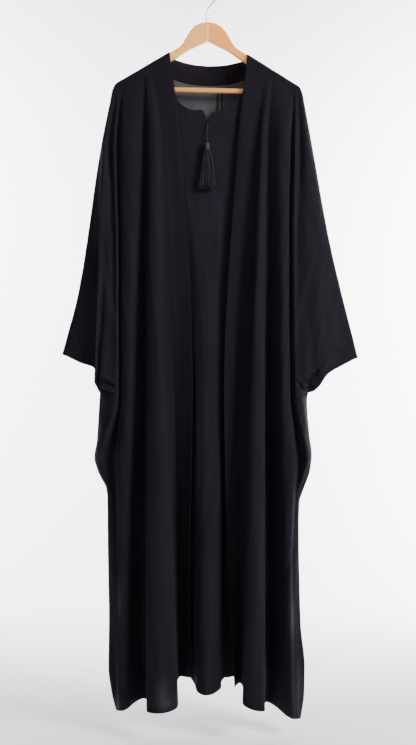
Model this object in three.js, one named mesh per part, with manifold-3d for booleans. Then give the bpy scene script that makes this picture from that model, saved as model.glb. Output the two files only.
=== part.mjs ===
// A butterfly abaya on a wooden hanger: an open outer garment cut in one with its sleeves, a band that runs
// round the back neck and down both front edges, an inner front panel, a hanging loop and a tassel.
// Millimetres, Z up. X runs to the right of the front view, the front faces -Y, and the origin is the inside
// top of the hanger's hook, where a rail carries it.
import * as THREE from 'three';
import { mergeVertices } from 'three/addons/utils/BufferGeometryUtils.js';
import Module from 'manifold-3d';

const wasm = await Module();
wasm.setup();

// Driving dimensions
const CLOTH_WALL = 1.2;
const BAND_WALL = 1.8;
const SEAM_GAP = 0.3;
const TILT = Math.tan(THREE.MathUtils.degToRad(1.2));
const SHOULDER = { x: 88, z: -165.6, slope: 0.6009, tipX: 204, droopLeft: 0.05, droopRight: 0.08 };
const ARM_CLEARANCE = 1.4;
const HEIGHT = { chest: -384, bust: -588, cuff: -938, low: -1085, hip: -1172, knee: -1314 };
const STATIONS = ['chest', 'bust', 'cuff', 'low', 'hip', 'knee', 'hem'];

// How the cloth rounds the hanger arm: the share of the full depth, and the drop over the arm and past its tip
const WRAP_ROWS = [
  { depth: 0, dropOnArm: 0, dropPastTip: 0 },
  { depth: 0.55, dropOnArm: 0.3, dropPastTip: 5 },
  { depth: 0.96, dropOnArm: 5.5, dropPastTip: 10.5 },
  { depth: 1, dropOnArm: 18, dropPastTip: 18 },
];
const HANG_ROW = WRAP_ROWS.length - 1;
const HANG_DEPTH = 11;
const UPPER_STEPS = [0.12, 0.27, 0.45, 0.63, 0.79, 0.9, 0.96, 1];
const LOWER_STEPS = [0.07, 0.14, 0.2, 0.25, 0.3, 0.36, 0.45, 0.57, 0.7, 0.82, 0.91, 0.96, 1];
const CUFF_ROW = HANG_ROW + UPPER_STEPS.length;
const LAST_ROW = CUFF_ROW + LOWER_STEPS.length;

// Fold lines of the outer fronts, from the open edge to the sleeve's top fold. Each is [x, y] at its station,
// [x, y, z] where it has a height of its own, and free where it says _. The second column is how many strips
// of cloth lie between this line and the next.
const _ = null;
// name, strips, shoulder, chest, bust, cuff, low, hip, knee, hem
const FRONT_LEFT = [
  ['open edge', 1, [-87, -11], [-60, -17], _, [-35, -14], _, _, [-41, 2], [-37, 8, -1585]],
  ['edge valley', 1, [-94, -11], [-68, -19], _, [-47, -8], _, _, [-52, 8], [-48, 22, -1583]],
  ['band middle', 1, [-110, -11], [-85, -20], _, [-69, -12], _, _, [-63, 8], [-57, 16, -1585]],
  ['band seam', 1, [-128, -11], [-101, -22], _, [-77, -22], _, _, [-67, -4], [-62, 2, -1590]],
  ['crease', 1, [-132, -11], [-110, -27], _, [-88, -36], _, _, [-70, -40], [-64, -46, -1618]],
  ['crest inner', 1, [-135, -11], [-116, -31], _, [-99, -48], _, _, [-85, -58], [-79, -70, -1633]],
  ['crest', 1, [-138, -11], [-124, -32], _, [-113, -54], _, _, [-107, -66], [-106, -76, -1639]],
  ['turn', 1, [-141, -11], [-133, -29], _, [-134, -44], _, _, [-136, -52], [-135, -60, -1640]],
  ['back wall', 1, [-143, -11], [-134, -20], _, [-131, -14], _, _, [-131, -14], [-131, -14, -1640]],
  ['valley', 1, [-146, -11], [-141, -14], _, [-142, 4], _, _, [-147, 14], [-146, 24, -1636]],
  ['valley outer', 2, [-152, -11], [-150, -20], _, [-158, -12], _, _, [-168, -4], [-164, 6, -1638]],
  ['strip crest', 2, [-172, -11], [-172, -29], _, [-176, -32], _, _, [-181, -26], [-180, -18, -1645]],
  ['strip edge', 1, [-190, -11], [-194, -25], _, [-194, -26], [-198, -30], _, [-196, -28], [-189, -24, -1649]],
  ['deep line', 1, [-196, -11], [-202, -12], [-198, -8], [-197, -3], [-216, -3], [-210, -6], [-205, -16],
    [-196, -20, -1651]],
  ['second strip', 1, [-200, -11], [-211, -23], [-205, -28], [-204, -30], [-244, -18], [-218, -10],
    [-212, -14], [-201, -16, -1652]],
  ['second line', 1, [-204, -11], [-222, -13], [-213, -14], [-216, -24], [-252, -10], [-224, -6], [-220, -9],
    [-205, -9, -1653]],
  ['side seam', 1, [-207, -11], [-229, -19], [-222, -24], [-245.2, 0, -935]],
  ['sleeve crest', 1, [-210, -11], [-233, -22], [-233, -29], [-250, -24, -921]],
  ['sleeve ridge', 1, [-212, -10], [-236, -21], [-243, -33], [-254, -40, -908]],
  ['behind ridge', 1, [-213.6, -8], [-239, -16], [-247, -22], [-248, -20, -883]],
  ['sleeve middle', 1, [-215, -6], [-241, -11], [-271, -13, -700], [-289, -11, -867]],
  ['near fold', 1, [-216.2, -3], [-243, -6], [-288, -6, -700], [-322, -6, -851.5]],
  ['top fold', 1, [-217, 0], [-244, 0], [-292.5, 0, -700], [-331, 0, -848.5]],
];
const FRONT_RIGHT = [
  ['open edge', 1, [89, -11], [66, -17], _, [36, -14], _, _, [46, -4], [60, -15, -1599]],
  ['edge valley', 1, [95, -11], [75, -19], _, [48, -8], _, _, [57, 6], [69, 10, -1594]],
  ['band middle', 1, [112, -11], [92, -20], _, [68, -12], _, _, [72, 6], [76, 14, -1594]],
  ['band seam', 1, [131, -11], [107, -22], _, [76, -22], _, _, [79, -6], [80, 2, -1598]],
  ['crease', 1, [135, -11], [114, -27], _, [82, -36], _, _, [84, -40], [77, -46, -1616]],
  ['crest inner', 1, [137.5, -11], [118, -31], _, [91, -48], _, _, [92, -56], [87, -63, -1627]],
  ['crest', 1, [140, -11], [122, -32], _, [106, -54], _, _, [107, -64], [104, -72, -1634]],
  ['turn', 1, [142.5, -11], [128, -29], _, [125, -44], _, _, [126, -52], [125, -60, -1638]],
  ['back wall', 1, [144.5, -11], [128, -20], _, [124, -14], _, _, [121, -14], [121, -14, -1640]],
  ['valley', 1, [147.5, -11], [135, -14], _, [135, 4], _, _, [136, 14], [137, 24, -1645]],
  ['valley outer', 2, [153, -11], [146, -20], _, [151, -12], _, _, [155, -4], [154, 6, -1649]],
  ['strip crest', 2, [171, -11], [165, -29], _, [168, -32], _, _, [175, -28], [178, -20, -1663]],
  ['strip edge', 1, [188, -11], [182, -25], [180, -26], [184, -26], [192, -30], [190, -28], [184, -30],
    [190, -24, -1668]],
  ['deep line', 1, [195, -11], [189, -12], [186, -8], [188, -3], [207, -3], [198, -14], [191, -26],
    [197, -20, -1670]],
  ['second strip', 1, [199, -11], [196, -23], [192, -28], [195, -30], [222, -18], [202, -14], [197, -22],
    [202, -16, -1672]],
  ['second line', 1, [203, -11], [207, -13], [201, -14], [208, -24], [229, -10], [205.5, -8], [203, -12],
    [206.5, -9, -1673]],
  ['side seam', 1, [206, -11], [214, -19], [209, -24], [227, 0, -935]],
  ['sleeve crest', 1, [208, -11], [220, -22], [220, -28], [239, -21, -930]],
  ['sleeve ridge', 1, [209.4, -10], [226, -21], [237, -30], [252, -33, -917]],
  ['behind ridge', 1, [210.8, -8], [231, -16], [252, -22], [269, -24, -893]],
  ['sleeve middle', 1, [212.2, -6], [234, -11], [264, -14], [300, -13, -875]],
  ['near fold', 1, [213.5, -3], [236.5, -6], [272, -6], [331, -6, -859]],
  ['top fold', 1, [214.5, 0], [238, 0], [275, 0], [340, 0, -855.5]],
];

// The side seams below the cuffs: x, z
const SIDE_SEAM_LEFT = [
  [-249.7, -1008], [-252, -1042], [-258, -1082], [-251.5, -1108], [-242.7, -1128], [-231.3, -1150],
  [-228.5, -1171], [-227, -1314], [-224.7, -1450], [-225.9, -1557], [-219, -1614], [-208.8, -1655],
];
const SIDE_SEAM_RIGHT = [
  [224.7, -951], [230.4, -1033], [235.6, -1075], [232, -1109], [213.8, -1162], [207.9, -1181], [205.9, -1230],
  [210, -1455], [219.3, -1557], [217.9, -1618], [210, -1675],
];

// Fold lines of the back between the neck and the side, for the right half; the left half mirrors them.
// name, strips, top, chest, cuff, knee, hem
const BACK_NECK_LINES = [
  ['back centre', 2, [0, 31, -231], [0, 22], [0, 56], [0, 80], [0, 98, -1600]],
  ['back valley', 2, [24, 30.6, -230], [32, 17], [37, 38], [39, 52], [40, 64, -1600]],
  ['back crest', 2, [52, 28.6, -226.5], [66, 22], [75, 62], [79, 84], [82, 106, -1606]],
  ['side valley', 2, [90, 21, -217], [98, 16], [108, 36], [111, 50], [114, 62, -1612]],
];
const BACK_SIDE_LINES = [
  ['side crest', 2, [130, 11], [132, 22], [140, 58], [144, 76], [147, 96, -1620]],
  ['outer valley', 1, [158, 11], [158, 16], [168, 34], [168, 45], [168, 54, -1630]],
];
// Between the outer valley and the side seam: name, share of the way, chest, cuff, knee and hem depth, hem z
const BACK_OUTER_LINES = [
  ['outer crest', 0.45, 21, 44, 48, 52, -1645],
  ['near seam', 0.8, 14, 24, 24, 24, -1653],
];

// The back of each sleeve next to the side seam: name, strips, shoulder, chest, bust, cuff
const BACK_SLEEVE_LEFT = [
  ['sleeve crest', 1, [-211, 10], [-234, 16], [-238, 18], [-252, 11, -914]],
  ['cuff corner', 1, [-213.6, 8], [-239, 12], [-250, 17], [-257, 14, -883]],
];
const BACK_SLEEVE_RIGHT = [
  ['sleeve crest', 1, [209, 10], [222, 15], [224, 18], [240, 12, -925]],
  ['cuff corner', 1, [211, 8], [231, 12], [250, 16], [266, 16, -889]],
];

// Fold lines of the inner front, from the left of the view to the right: name, top, chest, cuff, knee, hem.
// A top with no height lies under the outer cloth on the hanger arm.
const INNER_LINES = [
  ['left edge', [-180], [-166, -8], [-188, 4], [-216, 3], [-203, 4, -1600]],
  ['left outer', [-150], [-140, -8], [-160, 12], [-180, 16], [-172, 26, -1598]],
  ['left crest', [-120], [-115, -8], [-125, 14], [-135, 26], [-130, 38, -1592]],
  ['left neck point', [-92], [-92, -8], [-90, 14], [-92, 30], [-92, 44, -1590]],
  ['left neck side', [-82, -222], [-78, -8], [-66, 12], [-62, 30], [-64, 46, -1589]],
  ['left neck curve', [-77, -255], [-68, -8], [-50, 10], [-44, 24], [-45, 40, -1590]],
  ['left neck low', [-66, -277], [-56, -8], [-38, 4], [-32, 8], [-31, 14, -1600]],
  ['left fold', [-50, -290.5], [-41, -8], [-28, -3], [-26, -8], [-25, -12, -1608]],
  ['left of slit', [-29, -296], [-25, -8], [-17, -9], [-17, -18], [-16, -25, -1612]],
  ['slit top left', [-12, -295.5], [-11, -8], [-10, -12], [-10, -21], [-9, -29, -1613]],
  ['slit point', [-1, -322], [-1, -8], [-2, -13], [-2, -22], [-2, -30, -1613]],
  ['slit top right', [10, -300], [9, -8], [8, -12], [7, -21], [7, -28, -1612]],
  ['right of slit', [24, -298], [22, -8], [18, -8], [18, -14], [18, -18, -1608]],
  ['right fold', [42, -290], [38, -8], [27, -2], [26, -2], [26, -4, -1602]],
  ['right neck low', [58, -278], [54, -8], [40, 6], [31, 12], [30, 16, -1596]],
  ['right neck curve', [75, -262], [68, -8], [54, 12], [44, 26], [44, 40, -1590]],
  ['right neck side', [84, -222], [80, -8], [72, 13], [66, 30], [68, 46, -1589]],
  ['right neck point', [92], [92, -8], [92, 14], [92, 30], [94, 44, -1590]],
  ['right crest', [120], [115, -8], [125, 14], [132, 26], [130, 38, -1593]],
  ['right outer', [150], [140, -8], [158, 12], [170, 16], [172, 26, -1600]],
  ['right edge', [180], [164, -8], [182, 4], [196, 3], [203, 4, -1600]],
];
const INNER_TOP = { drop: 6.5, depth: -8.3 };

// The free edge of the neck band round the back neck, from the centre back outward: share of the edge's own
// distance from the middle, depth, and height below the band's edge on the shoulder
const BACK_NECK_EDGE = [
  [0, 32, 19],
  [0.4, 30, 17],
  [0.75, 21, 12.5],
  [0.94, 13.5, 9],
];
const BAND_OVER_ARM = [{ depth: 10.6, drop: 4 }, { depth: 6, drop: 0.3 }];
const BAND_SHARES = [0, 0.17, 0.56, 1];

// Hanger, hook, loop and tassel
const ARM = { thickness: 14, rounding: 3, jointGap: 0.3, pastJoint: 12 };
const ARM_TOP = [[0, -94.5], [16, -97], [30, -104], [40, -115], [48, -128], [55, -141], [62, -150.3]];
const ARM_SLOPE = { start: 72, end: 197 };
const ARM_END = [[201, -240], [203, -247], [201.5, -255], [197, -259], [181, -257.5], [175, -240]];
const ARM_UNDERSIDE = [[85, -185], [40, -157], [0, -138.5]];
const BAR = { radius: 5.5, z: -248.6, reach: 193.7, holeRadius: 5.8, holeEnd: 194, holeStart: 160 };
const HOOK = { wire: 1.7, bend: 24.5, from: -32, to: 205, arcPoints: 25, steps: 48 };
const HOOK_SHANK = [[-3, -111.7], [-3, -93], [-3, -74], [2, -60], [12, -49]];
const HOOK_HOLE = { x: -3, radius: 2, bottom: -112, length: 40 };
const LOOP = { x: 27.5, spread: 4.4, width: 3, wall: 1.2, top: [27.8, -234], bottom: [20.9, -300], steps: 20 };
const TASSEL = { x: -2, depth: -17.5, headTop: -370, headRadius: 5.5, headLength: 15.5, bottom: -477 };
const TASSEL_CORD = { radius: 1.2, start: [-1, -10.9, -325], end: [-2, -17.2, -369.6] };
const STRAND_RINGS = [
  { count: 22, top: [4.3, 3.9], bottom: [20, 7.4] },
  { count: 14, top: [2.7, 2.4], bottom: [12.5, 4.8] },
  { count: 8, top: [1.1, 0.9], bottom: [5.5, 2] },
];
const STRAND_RADIUS = 1.05;

const ABAYA_BLACK = new THREE.MeshStandardMaterial({ color: 0x1c1a1f, roughness: 0.82, metalness: 0 });
const INNER_BLACK = new THREE.MeshStandardMaterial({ color: 0x19181c, roughness: 0.85, metalness: 0 });
const TASSEL_BLACK = new THREE.MeshStandardMaterial({ color: 0x121115, roughness: 0.6, metalness: 0 });
const WOOD = new THREE.MeshStandardMaterial({ color: 0xcf9a5b, roughness: 0.45, metalness: 0 });
const STEEL = new THREE.MeshStandardMaterial({ color: 0xb9babd, roughness: 0.3, metalness: 1 });

// The line of the shoulders: straight over the hanger arms, then drooping past their tips
function shoulderZ(x) {
  const reach = Math.abs(x);
  const past = Math.max(0, reach - SHOULDER.tipX);
  const droop = x < 0 ? SHOULDER.droopLeft : SHOULDER.droopRight;
  return SHOULDER.z - SHOULDER.slope * (reach - SHOULDER.x) - TILT * x - droop * past ** 2;
}

// A smooth curve through [place, value] knots that never overshoots them
function monotone(knots) {
  const sorted = [...knots].sort((a, b) => a[0] - b[0]);
  const last = sorted.length - 1;
  const slopes = sorted.slice(1).map((k, i) => (k[1] - sorted[i][1]) / (k[0] - sorted[i][0]));
  const bends = sorted.map((knot, i) => {
    if (i === 0) return slopes[0];
    if (i === last) return slopes[last - 1];
    const before = slopes[i - 1];
    const after = slopes[i];
    return before * after <= 0 ? 0 : (2 * before * after) / (before + after);
  });
  return (place) => {
    const at = THREE.MathUtils.clamp(place, sorted[0][0], sorted[last][0]);
    const i = Math.max(0, sorted.findIndex((k, n) => n < last && at <= sorted[n + 1][0]));
    const span = sorted[i + 1][0] - sorted[i][0];
    const t = (at - sorted[i][0]) / span;
    const rise = t * t * (3 - 2 * t);
    const leave = t * (1 - t) ** 2 * span * bends[i];
    const arrive = t * t * (t - 1) * span * bends[i + 1];
    return sorted[i][1] * (1 - rise) + sorted[i + 1][1] * rise + leave + arrive;
  };
}

// A fold line that starts on the shoulder: its point on each row of the panel
function foldLine([name, strips, [topX, topDepth], ...places], seamBelow = []) {
  const topZ = shoulderZ(topX);
  const hangZ = topZ - WRAP_ROWS[HANG_ROW].dropOnArm;
  const stations = places.map((place, k) => place && [place[0], place[1], place[2] ?? HEIGHT[STATIONS[k]]]);
  const cuffZ = stations[STATIONS.indexOf('cuff')][2];
  const below = seamBelow.map(([x, z]) => [x, 0, z]);
  const knots = [...stations.filter(Boolean), ...below];
  const hemZ = knots.at(-1)[2];
  const across = monotone([[topZ, topX], ...knots.map((k) => [k[2], k[0]])]);
  const depth = monotone([[hangZ, topDepth], ...stations.filter(Boolean).map((k) => [k[2], k[1]])]);
  const point = (row) => {
    if (row <= HANG_ROW) {
      const { depth: share, dropOnArm, dropPastTip } = WRAP_ROWS[row];
      const onArm = Math.abs(topDepth) / HANG_DEPTH;
      const z = topZ - THREE.MathUtils.lerp(dropPastTip, dropOnArm, onArm);
      return new THREE.Vector3(across(z), share * topDepth, z);
    }
    const z = row <= CUFF_ROW
      ? THREE.MathUtils.lerp(hangZ, cuffZ, UPPER_STEPS[row - HANG_ROW - 1])
      : THREE.MathUtils.lerp(cuffZ, hemZ, LOWER_STEPS[row - CUFF_ROW - 1]);
    return new THREE.Vector3(across(z), depth(z), z);
  };
  return { name, strips, firstRow: 0, point };
}

// A fold line that starts at a neckline, so that it has no rows over the arm
function neckLine([name, strips, top, ...places]) {
  const [chest, cuff, knee, hem] = places;
  const knots = [top, [...chest, HEIGHT.chest], [...cuff, HEIGHT.cuff], [...knee, HEIGHT.knee], hem];
  const across = monotone(knots.map((k) => [k[2], k[0]]));
  const depth = monotone(knots.map((k) => [k[2], k[1]]));
  const point = (row) => {
    let z = top[2];
    if (row > CUFF_ROW) z = THREE.MathUtils.lerp(HEIGHT.cuff, hem[2], LOWER_STEPS[row - CUFF_ROW - 1]);
    else if (row > HANG_ROW) z = THREE.MathUtils.lerp(top[2], HEIGHT.cuff, UPPER_STEPS[row - HANG_ROW - 1]);
    return new THREE.Vector3(across(z), depth(z), z);
  };
  return { name, strips, firstRow: HANG_ROW, point };
}

// Rows of points of a panel: each row runs through its fold lines, with the strips between them rounded.
// Lines outside [firstSeam, lastSeam] are sleeve lines and end at the cuff.
function panelRows(lines, firstSeam, lastSeam) {
  const rows = [];
  for (let row = 0; row <= LAST_ROW; row += 1) {
    const present = lines.map((line, k) => row >= line.firstRow
      && (row <= CUFF_ROW || (k >= firstSeam && k <= lastSeam)));
    const points = lines.map((line, k) => (present[k] ? line.point(row) : null));
    rows.push(lines.flatMap((line, k) => {
      if (k === lines.length - 1) return [points[k]];
      return strip(points, k, line.strips);
    }));
  }
  return rows;
}

// The points of one strip of a row, its own fold line first
function strip(points, k, count) {
  const bothEnds = points[k] && points[k + 1];
  if (!bothEnds) return [points[k], ...Array(count - 1).fill(null)];
  const near = [points[k - 1] ?? points[k], points[k], points[k + 1], points[k + 2] ?? points[k + 1]];
  const from = points[k - 1] ? 1 : 0;
  const knots = near.filter((p, i) => p !== near[i - 1]);
  const curve = new THREE.CatmullRomCurve3(knots, false, 'centripetal');
  const inner = Array.from({ length: count - 1 }, (unused, i) => (
    curve.getPoint((from + (i + 1) / count) / (knots.length - 1))
  ));
  return [points[k], ...inner];
}

const columnOf = (lines, name) => {
  const k = lines.findIndex((line) => line.name === name);
  return lines.slice(0, k).reduce((sum, line) => sum + line.strips, 0);
};

// The cells of a sheet whose four corners exist, as [row, column]
function cellsOf(rows) {
  const cells = [];
  for (let i = 0; i < rows.length - 1; i += 1) {
    for (let j = 0; j < rows[i].length - 1; j += 1) {
      if (rows[i][j] && rows[i][j + 1] && rows[i + 1][j] && rows[i + 1][j + 1]) cells.push([i, j]);
    }
  }
  return cells;
}

const keyOf = (p) => `${p.x.toFixed(3)} ${p.y.toFixed(3)} ${p.z.toFixed(3)}`;
const edgeKey = (p, q) => [keyOf(p), keyOf(q)].sort().join(' to ');

// Adds the sheet's cell normals, facing out, to the sum at each of its points
function addNormals(sheet, sums) {
  for (const [i, j] of cellsOf(sheet.rows)) {
    const corners = [[i, j], [i, j + 1], [i + 1, j + 1], [i + 1, j]].map(([r, c]) => sheet.rows[r][c]);
    const [a, b, c, d] = corners;
    const normal = c.clone().sub(a).cross(d.clone().sub(b)).multiplyScalar(sheet.outward).normalize();
    for (const p of corners) {
      const key = keyOf(p);
      if (!sums.has(key)) sums.set(key, new THREE.Vector3());
      sums.get(key).add(normal);
    }
  }
}

// Triangles of one layer, as corner pairs [row, column], facing out, split along the shorter diagonal
function layerTriangles(sheet) {
  const { rows, outward } = sheet;
  return cellsOf(rows).flatMap(([i, j]) => {
    const [a, b, c, d] = [[i, j], [i, j + 1], [i + 1, j + 1], [i + 1, j]];
    const at = ([r, s]) => rows[r][s];
    const pair = at(a).distanceTo(at(c)) <= at(b).distanceTo(at(d))
      ? [[a, b, c], [a, c, d]]
      : [[a, b, d], [b, c, d]];
    return outward > 0 ? pair : pair.map(([p, q, r]) => [p, r, q]);
  });
}

// Directed edges that only one triangle has
function boundaryEdges(triangles) {
  const name = ([r, c]) => `${r} ${c}`;
  const edges = new Map();
  for (const [a, b, c] of triangles) {
    for (const [p, q] of [[a, b], [b, c], [c, a]]) edges.set(`${name(p)} to ${name(q)}`, [p, q]);
  }
  return [...edges.values()].filter(([p, q]) => !edges.has(`${name(q)} to ${name(p)}`));
}

// Marks the seams that sheets share, so that each sheet can draw back from them by half the seam gap
function sharedEdges(sheets) {
  const counts = new Map();
  for (const sheet of sheets) {
    for (const [p, q] of boundaryEdges(layerTriangles(sheet))) {
      const key = edgeKey(sheet.rows[p[0]][p[1]], sheet.rows[q[0]][q[1]]);
      counts.set(key, (counts.get(key) ?? 0) + 1);
    }
  }
  return new Set([...counts].filter(([, count]) => count > 1).map(([key]) => key));
}

// How far each point of a sheet draws back from the seams it shares. An edge that lies wholly on the sheet's
// seam plane is left to that plane.
function seamShifts(sheet, edges, normalAt, shared, onPlane) {
  const pulls = new Map();
  for (const [p, q] of edges) {
    const [from, to] = [p, q].map(([r, c]) => sheet.rows[r][c]);
    if (shared.has(edgeKey(from, to)) && !(onPlane(from) && onPlane(to))) {
      const normal = normalAt(from).clone().add(normalAt(to)).normalize();
      const inward = normal.cross(to.clone().sub(from)).normalize();
      for (const point of [from, to]) pulls.set(point, [...(pulls.get(point) ?? []), inward]);
    }
  }
  return new Map([...pulls].map(([point, [first, second]]) => {
    if (!second) return [point, first.clone().multiplyScalar(SEAM_GAP / 2)];
    const mitre = first.clone().add(second).divideScalar(1 + first.dot(second));
    return [point, mitre.multiplyScalar(SEAM_GAP / 2)];
  }));
}

// The two points of a wall at one point of its sheet, outer first. On the sheet's seam plane the pair moves
// until both stand half the seam gap clear of it.
function wallPair(p, normal, thickness, shift, seamPlane) {
  const place = shift ? p.clone().add(shift) : p.clone();
  const pair = [1, -1].map((side) => place.clone().addScaledVector(normal, side * thickness / 2));
  if (seamPlane) {
    const { axis, sign } = seamPlane;
    const nearest = Math.min(...pair.map((q) => sign * q[axis]));
    for (const q of pair) q[axis] += sign * (SEAM_GAP / 2 - nearest);
  }
  return pair;
}

// A closed wall of cloth round a sheet
function wall(sheet, thickness, sums, shared) {
  const ownSums = new Map();
  addNormals(sheet, ownSums);
  const triangles = layerTriangles(sheet);
  const edges = boundaryEdges(triangles);
  const onEdge = new Set(edges.flat().map(([r, c]) => sheet.rows[r][c]));
  const onPlane = (p) => Boolean(sheet.seamPlane) && onEdge.has(p) && Math.abs(p[sheet.seamPlane.axis]) < 1e-6;
  const normalAt = (p) => (onPlane(p) ? ownSums : sums).get(keyOf(p)).clone().normalize();
  const shifts = seamShifts(sheet, edges, normalAt, shared, onPlane);
  const indexOf = new Map();
  const positions = [];
  sheet.rows.forEach((row, r) => row.forEach((p, c) => {
    if (!p) return;
    const pair = wallPair(p, normalAt(p), thickness, shifts.get(p), onPlane(p) ? sheet.seamPlane : null);
    indexOf.set(`${r} ${c}`, positions.length / 3);
    for (const q of pair) positions.push(q.x, q.y, q.z);
  }));
  const outer = ([r, c]) => indexOf.get(`${r} ${c}`);
  const inner = (corner) => outer(corner) + 1;
  const faces = triangles.flatMap(([p, q, r]) => [
    outer(p), outer(q), outer(r),
    inner(p), inner(r), inner(q),
  ]);
  for (const [p, q] of edges) {
    faces.push(outer(q), outer(p), inner(p));
    faces.push(outer(q), inner(p), inner(q));
  }
  const geometry = new THREE.BufferGeometry();
  geometry.setAttribute('position', new THREE.Float32BufferAttribute(positions, 3));
  geometry.setIndex(faces);
  return geometry;
}

// Only positions, with shared corners merged, so that a solid can be joined and cut
function bare(geometry) {
  geometry.deleteAttribute('normal');
  geometry.deleteAttribute('uv');
  return mergeVertices(geometry, 1e-3);
}

function toSolid(geometry) {
  const merged = bare(geometry);
  const vertProperties = new Float32Array(merged.attributes.position.array);
  const triVerts = new Uint32Array(merged.index.array);
  return new wasm.Manifold(new wasm.Mesh({ numProp: 3, vertProperties, triVerts }));
}

function toGeometry(solid) {
  const mesh = solid.getMesh();
  const geometry = new THREE.BufferGeometry();
  geometry.setAttribute('position', new THREE.Float32BufferAttribute(mesh.vertProperties, 3));
  geometry.setIndex(Array.from(mesh.triVerts));
  return geometry;
}

// A round wire or cord along a curve
function roundAlong(curve, radius, sides, steps) {
  const section = new THREE.Shape();
  for (let i = 0; i < sides; i += 1) {
    const angle = (i / sides) * 2 * Math.PI;
    const corner = [radius * Math.cos(angle), radius * Math.sin(angle)];
    if (i === 0) section.moveTo(...corner);
    else section.lineTo(...corner);
  }
  section.closePath();
  return bare(new THREE.ExtrudeGeometry(section, { steps, extrudePath: curve, bevelEnabled: false }));
}

const group = new THREE.Group();

function addPiece(name, geometry, material) {
  const mesh = new THREE.Mesh(geometry, material);
  mesh.name = name;
  group.add(mesh);
}

// The outer garment
const leftLines = FRONT_LEFT.map((row) => foldLine(row, row[0] === 'side seam' ? SIDE_SEAM_LEFT : []));
const rightLines = FRONT_RIGHT.map((row) => foldLine(row, row[0] === 'side seam' ? SIDE_SEAM_RIGHT : []));
const seamLine = FRONT_LEFT.findIndex(([name]) => name === 'side seam');
const leftFull = panelRows(leftLines, 0, seamLine);
const rightFull = panelRows(rightLines, 0, seamLine);
const bandColumn = columnOf(leftLines, 'band seam');
const frontOf = (rows) => rows.map((row) => row.slice(bandColumn));
const bandFrontOf = (rows) => rows.map((row) => row.slice(0, bandColumn + 1));
// Each front band is in two lengths, which meet at cuff height
const bandUpperOf = (rows) => bandFrontOf(rows).slice(0, CUFF_ROW + 1);
const bandLowerOf = (rows) => bandFrontOf(rows).slice(CUFF_ROW);

// The back's lines on one side of the centre, from the shoulder's neck end outward
function backSideLines(table, seamBelow, sleeveTable, side) {
  const mirrored = ([x, ...rest]) => [side * x, ...rest];
  const seamRow = table.find((row) => row[0] === 'side seam');
  const bandSeam = table.find((row) => row[0] === 'band seam');
  const [crest, valley] = BACK_SIDE_LINES.map(([name, strips, top, chest, cuff, knee, hem]) => (
    [name, strips, mirrored(top), mirrored(chest), _, mirrored(cuff), _, _, mirrored(knee), mirrored(hem)]
  ));
  crest[2] = [bandSeam[2][0], HANG_DEPTH];
  const seamX = (z) => Math.abs(monotone(seamBelow.map(([x, seamZ]) => [seamZ, x]))(z));
  const outer = BACK_OUTER_LINES.map(([name, share, chestY, cuffY, kneeY, hemY, hemZ]) => {
    const between = (from, to) => side * THREE.MathUtils.lerp(Math.abs(from), Math.abs(to), share);
    return [
      name, 1,
      [between(valley[2][0], seamRow[2][0]), HANG_DEPTH],
      [between(valley[3][0], seamRow[3][0]), chestY], _,
      [between(valley[5][0], seamRow[5][0]), cuffY], _, _,
      [between(valley[8][0], seamX(HEIGHT.knee)), kneeY],
      [between(valley[9][0], seamX(hemZ)), hemY, hemZ],
    ];
  });
  const hindDepth = (place, factor, lift) => {
    if (!place) return place;
    const [x, y, z] = place;
    return z === undefined ? [x, -factor * y] : [x, -factor * y, z + lift];
  };
  const seam = seamRow.map((place, k) => (k < 2 ? place : hindDepth(place, k === 2 ? 1 : 0.75, 0)));
  const sleeve = ['sleeve middle', 'near fold', 'top fold'].map((name) => {
    const row = table.find(([lineName]) => lineName === name);
    const lift = name === 'top fold' ? 0 : 5;
    return row.map((place, k) => (k < 2 ? place : hindDepth(place, k === 2 ? 1 : 0.7, lift)));
  });
  return [
    ...[crest, valley, ...outer].map((row) => foldLine(row)),
    foldLine(seam, seamBelow),
    ...[...sleeveTable, ...sleeve].map((row) => foldLine(row)),
  ];
}

const tilted = ([x, y, z]) => [x, y, z - TILT * x];
const mirrorRow = (row) => row.map((place) => (
  Array.isArray(place) ? [-place[0], ...place.slice(1)] : place
));
const tiltTop = ([name, strips, top, ...rest]) => [name, strips, tilted(top), ...rest];
const rightHalf = [
  ...BACK_NECK_LINES.map((row) => neckLine(tiltTop(row))),
  ...backSideLines(FRONT_RIGHT, SIDE_SEAM_RIGHT, BACK_SLEEVE_RIGHT, 1),
];
const leftHalf = [
  ...BACK_NECK_LINES.map((row) => neckLine(tiltTop(mirrorRow(row)))),
  ...backSideLines(FRONT_LEFT, SIDE_SEAM_LEFT, BACK_SLEEVE_LEFT, -1),
];
// Strips are counted from a line to the next one, so the mirrored half takes them from its inner neighbour
const leftOutward = leftHalf.slice(1).map((line, k) => ({ ...line, strips: leftHalf[k].strips })).reverse();
const backLines = [...leftOutward, ...rightHalf];
const seamFromEdge = BACK_SLEEVE_LEFT.length + 3;
const backRows = panelRows(backLines, seamFromEdge, backLines.length - 1 - seamFromEdge);
const backCentre = leftOutward.reduce((sum, line) => sum + line.strips, 0);

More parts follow.
